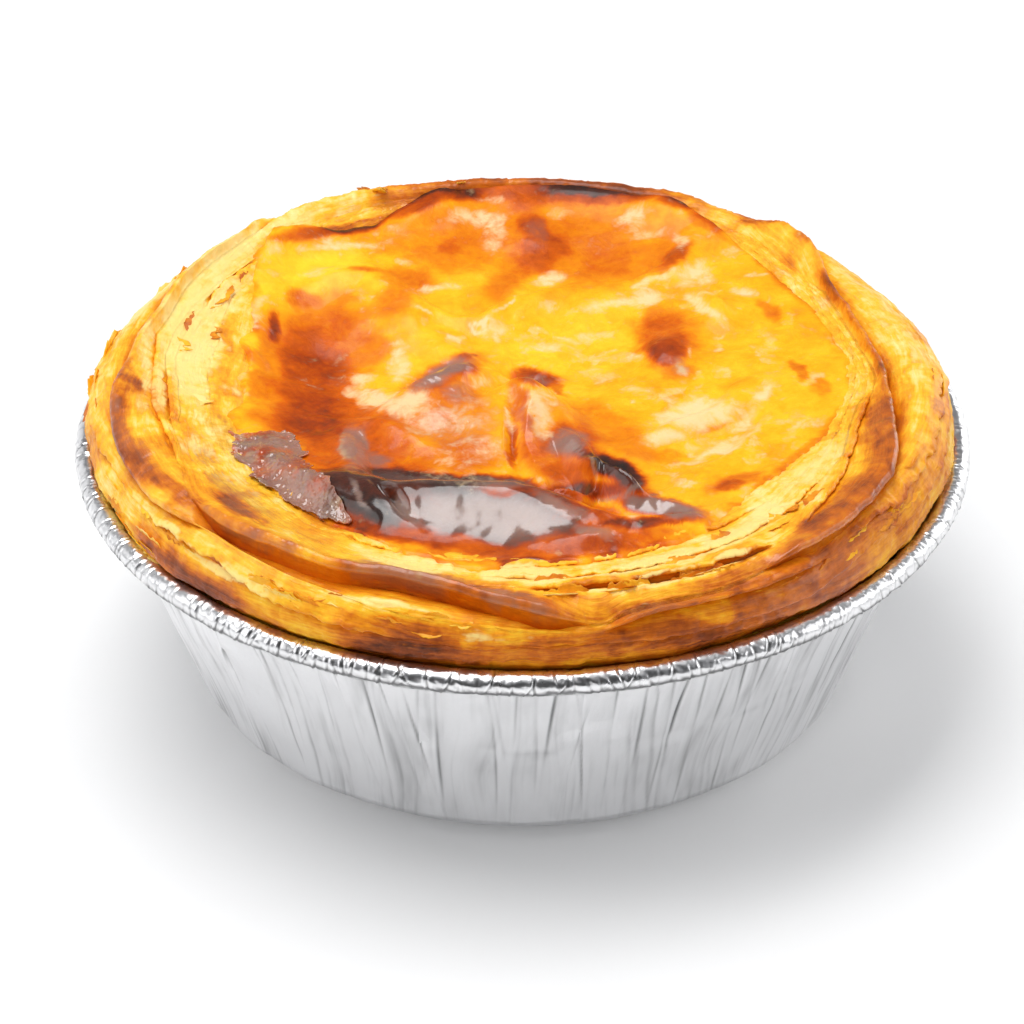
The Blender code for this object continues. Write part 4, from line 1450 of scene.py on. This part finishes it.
def custard_looks(x, y, height, edge_gap):
    """How browned and glossy the skin is, where it is thin and milky, where highlights are painted on, and
    where a sheen is painted on.
    """
    mottled = Noise(41)
    warp_x = x + 0.45 * mottled.layers(x / 1.8, y / 1.8, 2.0, octaves=4, gain=0.6)
    warp_y = y + SLANT * (height - SHEET_LEVEL)
    warp_y = warp_y + 0.45 * mottled.layers(x / 1.8, y / 1.8, 6.0, octaves=4, gain=0.6)
    tone = np.full(x.shape, 0.2)
    for *place, value, cover in SKIN_TONES:
        share = cover * np.exp(-oval(warp_x, warp_y, *place) ** 5)
        tone = tone + share * (value - tone)
    tone = tone + 0.07 * mottled.layers(x / 2.4, y / 2.4, octaves=4, gain=0.65)
    scorch = ease((mottled.layers(x / 2.5, y / 2.5, 11.0, octaves=3) + 0.6) / 0.8)
    tone = tone + 0.2 * ease(1 - edge_gap / 0.8) * scorch
    mottle = mottled.layers(warp_x / 2.2, warp_y / 2.2, 21.0, octaves=4, gain=0.6)
    pale = 0.4 * ease((mottle - 0.2) / 0.35) * ease((0.36 - tone) / 0.12)
    # The table's milky patches of thin skin and its painted highlights, with the pale mottle of light
    # areas.
    milk = np.maximum(strongest(warp_x, warp_y, SKIN_MILK_AND_HIGHLIGHTS, 2.4), pale)
    # Painted sheen, standing for light off the browned skin.
    haze = strongest(warp_x, warp_y, SKIN_SHEEN, 3.4)
    gloss = 0.08 + 0.9 * haze + 0.5 * ease((tone - 0.66) / 0.2) - 0.1 * milk
    gloss = np.clip(gloss * (1 - 0.6 * ease((y - 26) / 5)), 0, 1)
    return dict(bake=np.clip(tone, 0, 1), milk=milk, haze=haze, gloss=gloss)


def skin_edge(degrees, ragged=0.0):
    """Radius and height of the skin's edge on the crust."""
    station = line_round(SKIN_EDGE, degrees, SOFT_BENDS) + ragged
    return [part[0] for part in crust_place(station[None], degrees)]


def skin_height(x, y, tear=0.0):
    """Height of the skin at each place, and how far inside its edge the place lies, in mm.

    tear is how far the true edge lies outside the smooth one; it counts only near the edge.
    """
    turned = np.degrees(np.arctan2(y, x)).ravel()
    reach, level = (part.reshape(x.shape) for part in skin_edge(turned))
    radius = np.hypot(x, y)
    gap = reach - radius
    gap = gap + tear * ease(1 - gap / 3.0)
    height = custard_skin(x, y, np.clip(radius / reach, 0, 1), level + 0.25, gap)
    return height, gap


def custard_piece(material):
    """The custard: rings that shrink from its edge on the crust to a point among the front folds."""
    degrees = angles_round(CUSTARD_COLUMNS)
    ragged = SKIN_RAGGED * Noise(43).layers(degrees / 360 * 60, 0.5, wrap=60, octaves=4, gain=0.6)
    edge, edge_height = skin_edge(degrees, ragged)
    plain_edge, plain_height = skin_edge(degrees)
    lap_radius, lap_height = skin_edge(degrees, ragged - 0.25)
    rho = np.linspace(1.0, 0.004, CUSTARD_ROWS)[:, None]
    torn = ease((rho - 0.8) / 0.2)
    rim = ring_points(plain_edge + (edge - plain_edge) * torn, plain_height, degrees)
    x = CUSTARD_MIDDLE[0] + (rim[..., 0] - CUSTARD_MIDDLE[0]) * rho
    y = CUSTARD_MIDDLE[1] + (rim[..., 1] - CUSTARD_MIDDLE[1]) * rho
    height, gap = skin_height(x, y, (edge - plain_edge) * torn)
    top = np.stack([x, y, height], axis=-1)
    flat = np.zeros(CUSTARD_COLUMNS)
    low_radius = [12.0 + flat, 22.0 + flat, (edge + 22.0) / 2, edge - 0.6, lap_radius]
    bottom = CUSTARD_BOTTOM + flat
    low_height = [bottom, bottom, (edge_height + 3.0) / 2, edge_height - 3.6, lap_height - 0.5]
    below = ring_points(np.stack(low_radius), np.stack(low_height), degrees)
    rows = np.concatenate([below, top])
    looks = custard_looks(x, y, height, gap)
    marks = {
        name: np.concatenate([np.repeat(values[:1], len(below), axis=0), values])
        for name, values in looks.items()
    }
    mesh = make_mesh("custard_filling", rows, marks, poles=(True, True))
    add_piece("custard_filling", mesh, material, "custard", "custard")


# The map of the crust's front left slope that the flap lies on, in mm.
SLOPE_CELL = 0.4
SLOPE_LOWEST = 27.8


def crust_height(x, y):
    """Height of the crust's inner slope straight above or below each place."""
    _, points = crust_body()
    stations, turns = points.shape[:2]
    near = points[stations // 2 :, int(0.5 * turns) : int(0.75 * turns)].reshape(-1, 3)
    low = near[:, :2].min(axis=0)
    size = np.ceil((near[:, :2].max(axis=0) - low) / SLOPE_CELL).astype(int) + 1
    tallest = np.full(size, SLOPE_LOWEST)
    at = ((near[:, :2] - low) / SLOPE_CELL).astype(int)
    np.maximum.at(tallest, (at[:, 0], at[:, 1]), near[:, 2])
    column, row = (((part - least) / SLOPE_CELL).astype(int) for part, least in zip((x, y), low))
    return tallest[np.clip(column, 0, size[0] - 1), np.clip(row, 0, size[1] - 1)]


def smooth_grid(values, passes):
    """Values on a grid, each averaged with its neighbours, so many times over."""
    for _ in range(passes):
        padded = np.pad(values, 1, mode="edge")
        around = padded[:-2, 1:-1] + padded[2:, 1:-1] + padded[1:-1, :-2] + padded[1:-1, 2:]
        values = (values * 2 + around) / 6
    return values


# The flap's middle line, x and y, and its half width there.
FLAP_LINE = (
    (-22.9, -8.7, 2.3), (-22.3, -11.6, 2.8), (-20.9, -15.4, 2.5),
    (-19.1, -19, 1.9), (-16.8, -22.6, 1.2), (-14.3, -25.1, 0.2),
)
FLAP_ROWS, FLAP_COLUMNS = 190, 64
FLAP_SHEET = 0.12


def skin_flap(material):
    """A flap of browned skin that laps over the crust at the front left, wrinkled and blistered.

    It is a strip along a path whose width swells and shrinks, laid on whichever is higher, the
    crust or the custard's edge.
    """
    path = path_through(FLAP_LINE, FLAP_ROWS)
    ways = np.gradient(path[:, :2], axis=0)
    ways = ways / np.linalg.norm(ways, axis=1, keepdims=True)
    share = np.linspace(-1, 1, FLAP_COLUMNS)[:, None]
    crinkle = Noise(71)
    ragged = crinkle.layers(np.arange(FLAP_ROWS) / 14.0, np.sign(share) * 3.0, octaves=4, gain=0.7)
    width = path[:, 2] * (1 + 0.2 * ragged)
    x = path[:, 0] - ways[:, 1] * share * width
    y = path[:, 1] + ways[:, 0] * share * width
    drape = crinkle.layers(x / 2.0, y / 2.0, 1.0, octaves=3, gain=0.5)
    blisters = np.abs(crinkle.layers(x / 0.9, y / 0.9, 5.0, octaves=3, gain=0.6))
    pimples = np.abs(crinkle.layers(x / 0.38, y / 0.38, 19.0, octaves=2, gain=0.6))
    skin, inside = skin_height(x, y)
    ground = np.maximum(crust_height(x, y), np.where(inside > 0, skin, 0.0))
    ground = smooth_grid(ground, 12)
    curl = 0.14 * ease((np.abs(share) - 0.75) / 0.25)
    down = np.linspace(0, 1, FLAP_ROWS)
    height = ground + 0.18 + 0.14 * drape + 0.13 * blisters + 0.09 * pimples
    height = height + curl * (0.4 + crinkle(x / 2, y / 2, 8.0))
    top = np.stack([x, y, height], axis=-1)
    under = np.stack([x, y, height - FLAP_SHEET], axis=-1)[::-1]
    rows = np.concatenate([under, top])
    # Mottles for the flap's painted sheen and for the highlights painted on it in cream.
    sheen_mottle = crinkle.layers(x / 1.6, y / 1.6, 11.0, octaves=4)
    highlight_mottle = crinkle.layers(x / 1.3, y / 1.3, 15.0, octaves=3)
    marks = {
        "bake": 0.62 + 0.1 * down + 0.16 * drape,
        "haze": np.clip(0.74 - 0.12 * down + 0.5 * sheen_mottle, 0, 1),
        "milk": np.clip(0.16 + 0.5 * highlight_mottle, 0, 0.36),
    }
    marks = {mark: np.concatenate([values[::-1], values])[None] for mark, values in marks.items()}
    mesh = make_strips("custard_flap", rows[None], {**marks, "gloss": 1.0})
    add_piece("custard_flap", mesh, material, "custard", "custard")


# Foil cup

WALL_COLUMNS = 1880
BEAD_COLUMNS, BEAD_ROWS = 2200, 40
FOIL_SHEET = 0.12
CORNER_TURN = 68.0  # degrees from the floor round to the wall
RING_HEIGHT = 12.5  # mm, a faint ring of dents round the wall


def wall_top(sizes):
    """Height at which the wall meets the rolled rim, in mm."""
    return (sizes.cup_height - 2 * sizes.bead_radius) / MM


def wall_radius(height, sizes):
    """Outside of the cup's wall, a straight cone, in mm."""
    base, top = sizes.base_radius / MM, sizes.wall_top_radius / MM
    return base + (top - base) * height / wall_top(sizes)


def foil_creases(degrees, height, sizes):
    """How far the creased wall stands off its cone, in mm, and the shade and highlights painted into its
    colour at each place.

    Fold lines start at the rim at random angles, lean and bow a little and run down by random lengths.
    Between them the wall is nearly flat, a polygon whose corners wander; each fold line adds a sharp groove
    that swells and fades, painted dark, with a highlight painted on the lip beside it, and soft folds run
    between, painted lighter and darker, with fine painted dark lines.
    """
    draw = np.random.default_rng(77)
    count = sizes.creases
    start = np.sort((np.arange(count) + draw.uniform(-0.45, 0.45, count)) * 360.0 / count)
    lean, bow = draw.normal(0.0, 0.09, count), draw.normal(0.0, 0.6, count)
    push = draw.uniform(-1.0, 1.0, count) * sizes.crease_depth / MM
    reach = draw.uniform(0.3, 1.3, count)
    depth = draw.uniform(0.0, 1.0, count) ** 1.1
    drape = Noise(53)
    down = 1 - height[:, 0] / wall_top(sizes)
    turned = degrees / 360 * 90 + 0.5 * drape(degrees / 360 * 30, height / 8.0, 2.0, wrap=30)
    soft = drape.layers(turned, height / 11.0, wrap=90, octaves=4, gain=0.65)
    offset = 0.05 * soft
    sideways = np.abs(np.cos(np.radians(degrees)))
    lines = drape.layers(turned * 5, height / 24.0, 5.0, wrap=450, octaves=3, gain=0.7)
    # Painted shade and light: the soft folds and fine lines are painted darker and lighter, more strongly
    # towards the sides.
    shade = 1 + (0.14 * soft + 0.12 * np.minimum(lines, 0.1)) * (1 + sideways)
    for row, level in enumerate(down):
        corners = start + lean * level * 22.0 + bow * 4 * level * (1 - level)
        order = np.argsort(corners)
        strength = np.clip(1.2 - level / reach, 0.0, 1.0)
        offset[row] += np.interp(degrees[row], corners[order], (push * strength)[order], period=360)
        swell = strength * (0.6 + 0.4 * np.cos(level * 9.0 + start))
        for corner, groove, share, way in zip(corners, depth, swell, np.sign(lean)):
            gap = away(degrees[row], corner)
            near = np.abs(gap) < 1.5
            line = groove * share * bell(gap[near] / (0.14 + 0.14 * groove))
            offset[row, near] -= 0.16 * line
            # Painted shade in the groove, and a painted highlight on the lip beside it.
            shade[row, near] *= 1 - 0.97 * line
            shade[row, near] += 0.35 * groove * share * bell((gap[near] - 0.45 * way) / 0.3)
    return offset, np.clip(shade, 0.08, 1.45)


def foil_wall(material, sizes):
    """The cup's floor, its creased wall and the plain inside, as one thin closed sheet."""
    degrees = angles_round(WALL_COLUMNS)
    base, corner = sizes.base_radius / MM, sizes.base_corner / MM
    top = wall_top(sizes) + 0.4
    wander = Noise(51)
    middle = base - corner
    turn = np.linspace(0, math.radians(CORNER_TURN), 6)[1:]
    radii = [middle * share for share in (0.35, 0.7, 0.9, 1.0)] + list(middle + corner * np.sin(turn))
    heights = [0.0] * 4 + list(corner * (1 - np.cos(turn)))
    wall = np.linspace(heights[-1] + 0.4, top - 0.5, 30)
    lip = [(0.0, -0.25), (0.25, 0.0), (0.8, 0.15), (1.3, 0.2)]
    radii = radii + list(wall_radius(wall, sizes)) + [wall_radius(top, sizes) + out for out, _ in lip]
    radii = np.array(radii)[:, None]
    heights = np.array(heights + list(wall) + [top + up for _, up in lip])[:, None]
    grid_degrees, grid_height = np.broadcast_arrays(degrees, heights)
    on_wall = ease((grid_height - 0.3) / 2.5)
    folds, shade = foil_creases(grid_degrees, grid_height, sizes)
    seam = grid_degrees / 360 * 60
    folds = folds + 0.07 * wander.layers(seam, grid_height / 4.0, wrap=60, octaves=3)
    dents = wander.layers(seam * 1.5, grid_height / 1.5, 5.0, wrap=90, octaves=2)
    middle_height = RING_HEIGHT + 0.8 * wander(seam / 4, 0.5, wrap=15)
    patches = ease(wander(seam / 3, 3.5, wrap=20) * 2 + 0.4)
    ring = bell((grid_height - middle_height) / 0.5) * patches
    folds = folds - 0.1 * ring * (0.6 + dents)
    # The ring of dents is painted lighter and darker as well.
    shade = shade + 0.3 * ring * dents
    rows = radii + folds * on_wall
    shade = 1 + (shade - 1) * on_wall
    outside = ring_points(rows, grid_height, degrees)
    last = len(radii) - 1
    # The plain inside follows these rows of the outside, from the lip down to the floor.
    keep = [last, last - 2, last - 5, last - 11, last - 20, last - 31, 7, 3, 1]
    lifted = grid_height[keep] + FOIL_SHEET * (grid_height[keep] < 1.0)
    lifted = lifted + 1.4 * FOIL_SHEET * (grid_height[keep] > top - 0.3)
    inside = ring_points(rows[keep] - FOIL_SHEET, lifted, degrees)
    marks = {"shade": np.concatenate([shade, np.ones((len(keep), WALL_COLUMNS))])}
    mesh = make_mesh("foil_wall", np.concatenate([outside, inside]), marks, poles=(True, True))
    add_piece("foil_wall", mesh, material, "foil", "foil_cup")


def foil_bead(material, sizes):
    """The rolled rim: a tube pinched across by crimps at random places.

    Each crimp is a narrow ridge beside a narrow groove, leaning a little, with a highlight painted on the
    ridge and shade painted in the groove. Noise dents the skin everywhere, and its low outer side carries a
    painted dark band that stands for a dark reflection.
    """
    degrees = angles_round(BEAD_COLUMNS)
    section = np.linspace(0, TURN, BEAD_ROWS, endpoint=False)[:, None]
    tube = sizes.bead_radius / MM
    ring = sizes.rim_radius / MM - tube
    level = sizes.cup_height / MM - tube
    draw = np.random.default_rng(78)
    crimp = Noise(61)
    crimps = sizes.crimps
    start = np.sort((np.arange(crimps) + draw.uniform(-0.48, 0.48, crimps)) * 360.0 / crimps)
    lean = draw.normal(0.0, 0.5, crimps)
    pinch = draw.uniform(0.15, 1.0, crimps)
    middle = draw.uniform(-0.9, 0.9, crimps)
    dents, shade = np.zeros((BEAD_ROWS, BEAD_COLUMNS)), np.ones((BEAD_ROWS, BEAD_COLUMNS))
    for angle, slant, strength, height in zip(start, lean, pinch, middle):
        gap = away(degrees, angle) - slant * np.sin(section)
        tall = bell((section - height) / 1.1) + bell((section - TURN - height) / 1.1)
        dents += strength * tall * (0.1 * bell(gap / 0.14) - 0.12 * bell((gap - 0.3) / 0.17))
        # Painted shade in each crimp's groove and a painted highlight on its ridge.
        shade *= 1 - 0.85 * strength * tall * bell((gap - 0.3) / 0.14)
        shade += 0.2 * strength * tall * bell(gap / 0.13)
    seam = degrees / 360 * 170
    slanted = seam + 0.8 * np.sin(section)
    broad = crimp.layers(slanted, section * 0.8, wrap=170, octaves=3, gain=0.75)
    creased = np.abs(crimp.layers(slanted * 1.5, section * 1.2, 3.0, wrap=255, octaves=2, gain=0.7))
    flat = crimp(degrees / 360 * 60, 0.5, 5.0, wrap=60)
    bulge = tube * (1 + 0.05 * np.minimum(broad, 0.3) - 0.055 * creased + 0.03 * flat)
    bulge = bulge + np.minimum(dents, 0.08)
    rows = ring_points(ring + bulge * np.cos(section), level + bulge * 0.95 * np.sin(section), degrees)
    # Painted dark band along the low outer side, standing for a dark reflection.
    uneven = crimp.layers(slanted * 1.7, 0.5, 9.0, wrap=289, octaves=3, gain=0.7)
    under = bell((section + 0.45 + 0.2 * uneven) / 0.3)
    under = under + bell((section - TURN + 0.45 + 0.2 * uneven) / 0.3)
    shade = shade * (1 - 0.8 * under)
    marks = {"shade": np.clip(shade, 0.08, 1.35)}
    mesh = make_mesh("foil_bead", rows, marks, wrap_rows=True)
    add_piece("foil_bead", mesh, material, "foil", "foil_cup")


# Stage

MIDDLE = (0.0, 0.0, 0.02)  # where the lights aim
AIM = (-0.00095, 0.0, 0.01424)  # where the camera aims
FLOOR_SIZE = 3.2
SENSOR = 36.0


def add_light(name, place, size, watts):
    """A rectangular area light at a place, turned to the tart's middle."""
    lamp = bpy.data.lights.new(name, "AREA")
    lamp.shape = "RECTANGLE"
    lamp.size, lamp.size_y = size
    lamp.energy = watts
    holder = bpy.data.objects.new(name, lamp)
    holder.location = place
    way = Vector(MIDDLE) - Vector(place)
    holder.rotation_euler = way.to_track_quat("-Z", "Y").to_euler()
    bpy.context.scene.collection.objects.link(holder)
    return holder


def stage_mesh(name, corners, grey):
    """A flat matt card of the stage, through its corners."""
    mesh = bpy.data.meshes.new(name)
    mesh.from_pydata(corners, [], [tuple(range(len(corners)))])
    surface = Finish(name, Base_Color=(grey, grey, grey, 1.0), Roughness=0.9)
    mesh.materials.append(surface.material)
    piece = bpy.data.objects.new(name, mesh)
    bpy.context.scene.collection.objects.link(piece)
    return piece


# Add-on


def length_property(name, description, default):
    return FloatProperty(name=name, description=description, default=default, unit="LENGTH")


def power_property(name, description, default):
    return FloatProperty(name=name, description=description, default=default, subtype="POWER")


class EggTartCup(bpy.types.PropertyGroup):
    rim_radius: length_property("Rim radius", "Outside of the rolled rim", (CUP_HIGH[0] - CUP_LOW[0]) / 2)
    cup_height: length_property("Cup height", "Base to the rim's top", 0.0242)
    base_radius: length_property("Base radius", "Where the wall meets the base", 0.0297)
    base_corner: length_property("Base corner", "Radius between base and wall", 0.0025)
    wall_top_radius: length_property("Wall top radius", "Wall under the rolled rim", 0.0371)
    bead_radius: length_property("Bead radius", "Section of the rolled rim", 0.0011)
    creases: IntProperty(name="Creases", description="Fold lines in the wall", default=150)
    crease_depth: length_property("Crease depth", "Swing of the folded wall", 0.00026)
    crimps: IntProperty(name="Crimps", description="Pinches across the rolled rim", default=300)


def colour_property(name, description, colour):
    return FloatVectorProperty(
        name=name, description=description, subtype="COLOR", size=3, min=0.0, max=1.0, default=colour
    )


class EggTartColours(bpy.types.PropertyGroup):
    cream: colour_property("Cream", "Dry pale flakes", (1.0, 0.76, 0.26))
    pale_gold: colour_property("Pale gold", "Lightly baked pastry", (1.0, 0.55, 0.025))
    # Painted sheen colour, standing for light off glossy browned pastry.
    sheen_mauve: colour_property("Mauve", "Painted sheen on browned pastry", (0.38, 0.14, 0.065))
    gold: colour_property("Gold", "Golden pastry", (0.88, 0.33, 0.008))
    amber: colour_property("Amber", "Well baked pastry", (0.62, 0.145, 0.004))
    brown: colour_property("Brown", "Browned pastry", (0.31, 0.06, 0.006))
    char: colour_property("Char", "Scorched pastry", (0.05, 0.013, 0.005))
    # Painted glow and shade colour for the creases between leaves.
    crease_glow: colour_property("Crease glow", "Painted glow and shade in creases", (0.78, 0.2, 0.002))
    custard_light: colour_property("Light custard", "Pale custard", (1.0, 0.66, 0.03))
    # Colour of thin pale skin, also used for highlights painted on the custard.
    custard_milk_and_highlight: colour_property("Milky custard", "Thin pale skin and painted highlights", (0.98, 0.7, 0.37))
    # Painted sheen colour, standing for light off the browned custard skin.
    custard_sheen: colour_property("Custard sheen", "Painted grey sheen on the skin", (0.3, 0.19, 0.15))
    custard: colour_property("Custard", "Custard", (0.98, 0.46, 0.008))
    custard_amber: colour_property("Amber custard", "First browning", (0.86, 0.27, 0.003))
    custard_orange: colour_property("Orange custard", "Browned skin", (0.68, 0.12, 0.001))
    custard_brown: colour_property("Brown custard", "Brown skin", (0.4, 0.05, 0.001))
    custard_dark: colour_property("Dark custard", "Dark skin", (0.1, 0.018, 0.005))
    custard_char: colour_property("Burnt custard", "Burnt skin", (0.02, 0.007, 0.004))
    foil: colour_property("Foil", "Aluminium foil", (0.9, 0.9, 0.91))


class EggTartStage(bpy.types.PropertyGroup):
    distance: length_property("Camera distance", "Camera to its aim", 0.3)
    elevation: FloatProperty(
        name="Camera elevation",
        description="Camera's height as an angle",
        default=math.radians(32.96),
        subtype="ANGLE",
    )
    lens: FloatProperty(name="Lens", description="Focal length in mm", default=115.3)
    softbox_power: power_property("Softbox power", "Light that glosses show", 3.7)
    ceiling_power: power_property("Ceiling power", "Broad light from above", 2.2)
    side_power: power_property("Side power", "Panels left and right", 1.0)
    fill_power: power_property("Fill power", "Broad light from the front", 3.5)


class EGGTART_OT_cup(bpy.types.Operator):
    """Build the foil cup: creased wall and rolled rim"""

    bl_idname = "egg_tart.cup"
    bl_label = "Foil cup"

    def execute(self, context):
        scene = context.scene
        wall = foil_finish(scene.egg_tart_colours, "foil_wall", 0.2)
        bead = foil_finish(scene.egg_tart_colours, "foil_bead", 0.08)
        foil_wall(wall, scene.egg_tart_cup)
        foil_bead(bead, scene.egg_tart_cup)
        return {"FINISHED"}


class EGGTART_OT_pastry(bpy.types.Operator):
    """Build the pastry case: layered crust and hidden bowl"""

    bl_idname = "egg_tart.pastry"
    bl_label = "Pastry"

    def execute(self, context):
        material = pastry_finish(context.scene.egg_tart_colours)
        pastry_pieces(material)
        pastry_flakes(material)
        pastry_bowl(material)
        return {"FINISHED"}


class EGGTART_OT_custard(bpy.types.Operator):
    """Build the custard with its folded, browned skin"""

    bl_idname = "egg_tart.custard"
    bl_label = "Custard"

    def execute(self, context):
        material = custard_finish(context.scene.egg_tart_colours)
        custard_piece(material)
        skin_flap(material)
        return {"FINISHED"}


class EGGTART_OT_stage(bpy.types.Operator):
    """Set the floor, the soft lights and the camera"""

    bl_idname = "egg_tart.stage"
    bl_label = "Stage"

    def execute(self, context):
        scene = context.scene
        stage = scene.egg_tart_stage
        half = FLOOR_SIZE / 2
        corners = [(-half, -half, 0), (half, -half, 0), (half, half, 0), (-half, half, 0)]
        stage_mesh("floor", corners, 0.9)
        add_light("softbox", (-0.14, 0.08, 0.7), (0.64, 0.42), stage.softbox_power)
        for side, strength in ((-1, 1.8), (1, 2.0)):
            place = (0.85 * side, -0.1, 0.4)
            add_light("side_panel", place, (0.7, 0.6), strength * stage.side_power)
        for side, strength in ((-1, 1.2), (1, 4.0)):
            place = (0.9 * side, 0.75, 0.35)
            add_light("back_panel", place, (0.8, 0.7), strength * stage.side_power)
        add_light("ceiling", (0.0, 0.05, 1.2), (1.3, 1.2), stage.ceiling_power)
        fill = add_light("front_fill", (-0.2, -1.0, 0.55), (0.8, 0.5), stage.fill_power)
        fill.visible_glossy = False
        low, high = (-0.55, 0.03), (-0.75, 0.85)
        corners = [(-0.35, *low), (0.35, *low), (0.45, *high), (-0.45, *high)]
        card = stage_mesh("dark_card", corners, 0.01)
        card.visible_camera = False
        card.visible_shadow = False
        card.visible_diffuse = False
        world = bpy.data.worlds.new("studio")
        world.use_nodes = True
        back = world.node_tree.nodes["Background"]
        back.inputs["Color"].default_value = (0.93, 0.95, 1.0, 1.0)
        back.inputs["Strength"].default_value = 0.18
        scene.world = world
        scene.view_settings.view_transform = "Standard"
        lens = bpy.data.cameras.new("camera")
        lens.sensor_width = SENSOR
        lens.lens = stage.lens
        lens.clip_start = 0.01
        camera = bpy.data.objects.new("camera", lens)
        back_way = Vector((0.0, -math.cos(stage.elevation), math.sin(stage.elevation)))
        camera.location = Vector(AIM) + back_way * stage.distance
        camera.rotation_euler = (-back_way).to_track_quat("-Z", "Y").to_euler()
        scene.collection.objects.link(camera)
        scene.camera = camera
        return {"FINISHED"}


class EGGTART_PT_panel(bpy.types.Panel):
    bl_label = "Egg tart"
    bl_idname = "EGGTART_PT_panel"
    bl_space_type = "VIEW_3D"
    bl_region_type = "UI"
    bl_category = "Egg tart"

    def draw(self, context):
        scene = context.scene
        for group in (scene.egg_tart_cup, scene.egg_tart_colours, scene.egg_tart_stage):
            for prop in group.bl_rna.properties:
                if prop.identifier not in ("rna_type", "name"):
                    self.layout.prop(group, prop.identifier)
        for step in STEPS:
            self.layout.operator(step.bl_idname)


GROUPS = (
    ("egg_tart_cup", EggTartCup),
    ("egg_tart_colours", EggTartColours),
    ("egg_tart_stage", EggTartStage),
)
STEPS = (EGGTART_OT_cup, EGGTART_OT_pastry, EGGTART_OT_custard, EGGTART_OT_stage)
CLASSES = tuple(group for _, group in GROUPS) + STEPS + (EGGTART_PT_panel,)


def register():
    for one in CLASSES:
        bpy.utils.register_class(one)
    for name, group in GROUPS:
        setattr(bpy.types.Scene, name, PointerProperty(type=group))


def unregister():
    for name, _ in GROUPS:
        delattr(bpy.types.Scene, name)
    for one in reversed(CLASSES):
        bpy.utils.unregister_class(one)


def main():
    register()
    bpy.ops.egg_tart.cup()
    bpy.ops.egg_tart.pastry()
    bpy.ops.egg_tart.custard()
    bpy.ops.egg_tart.stage()


if __name__ == "__main__":
    main()
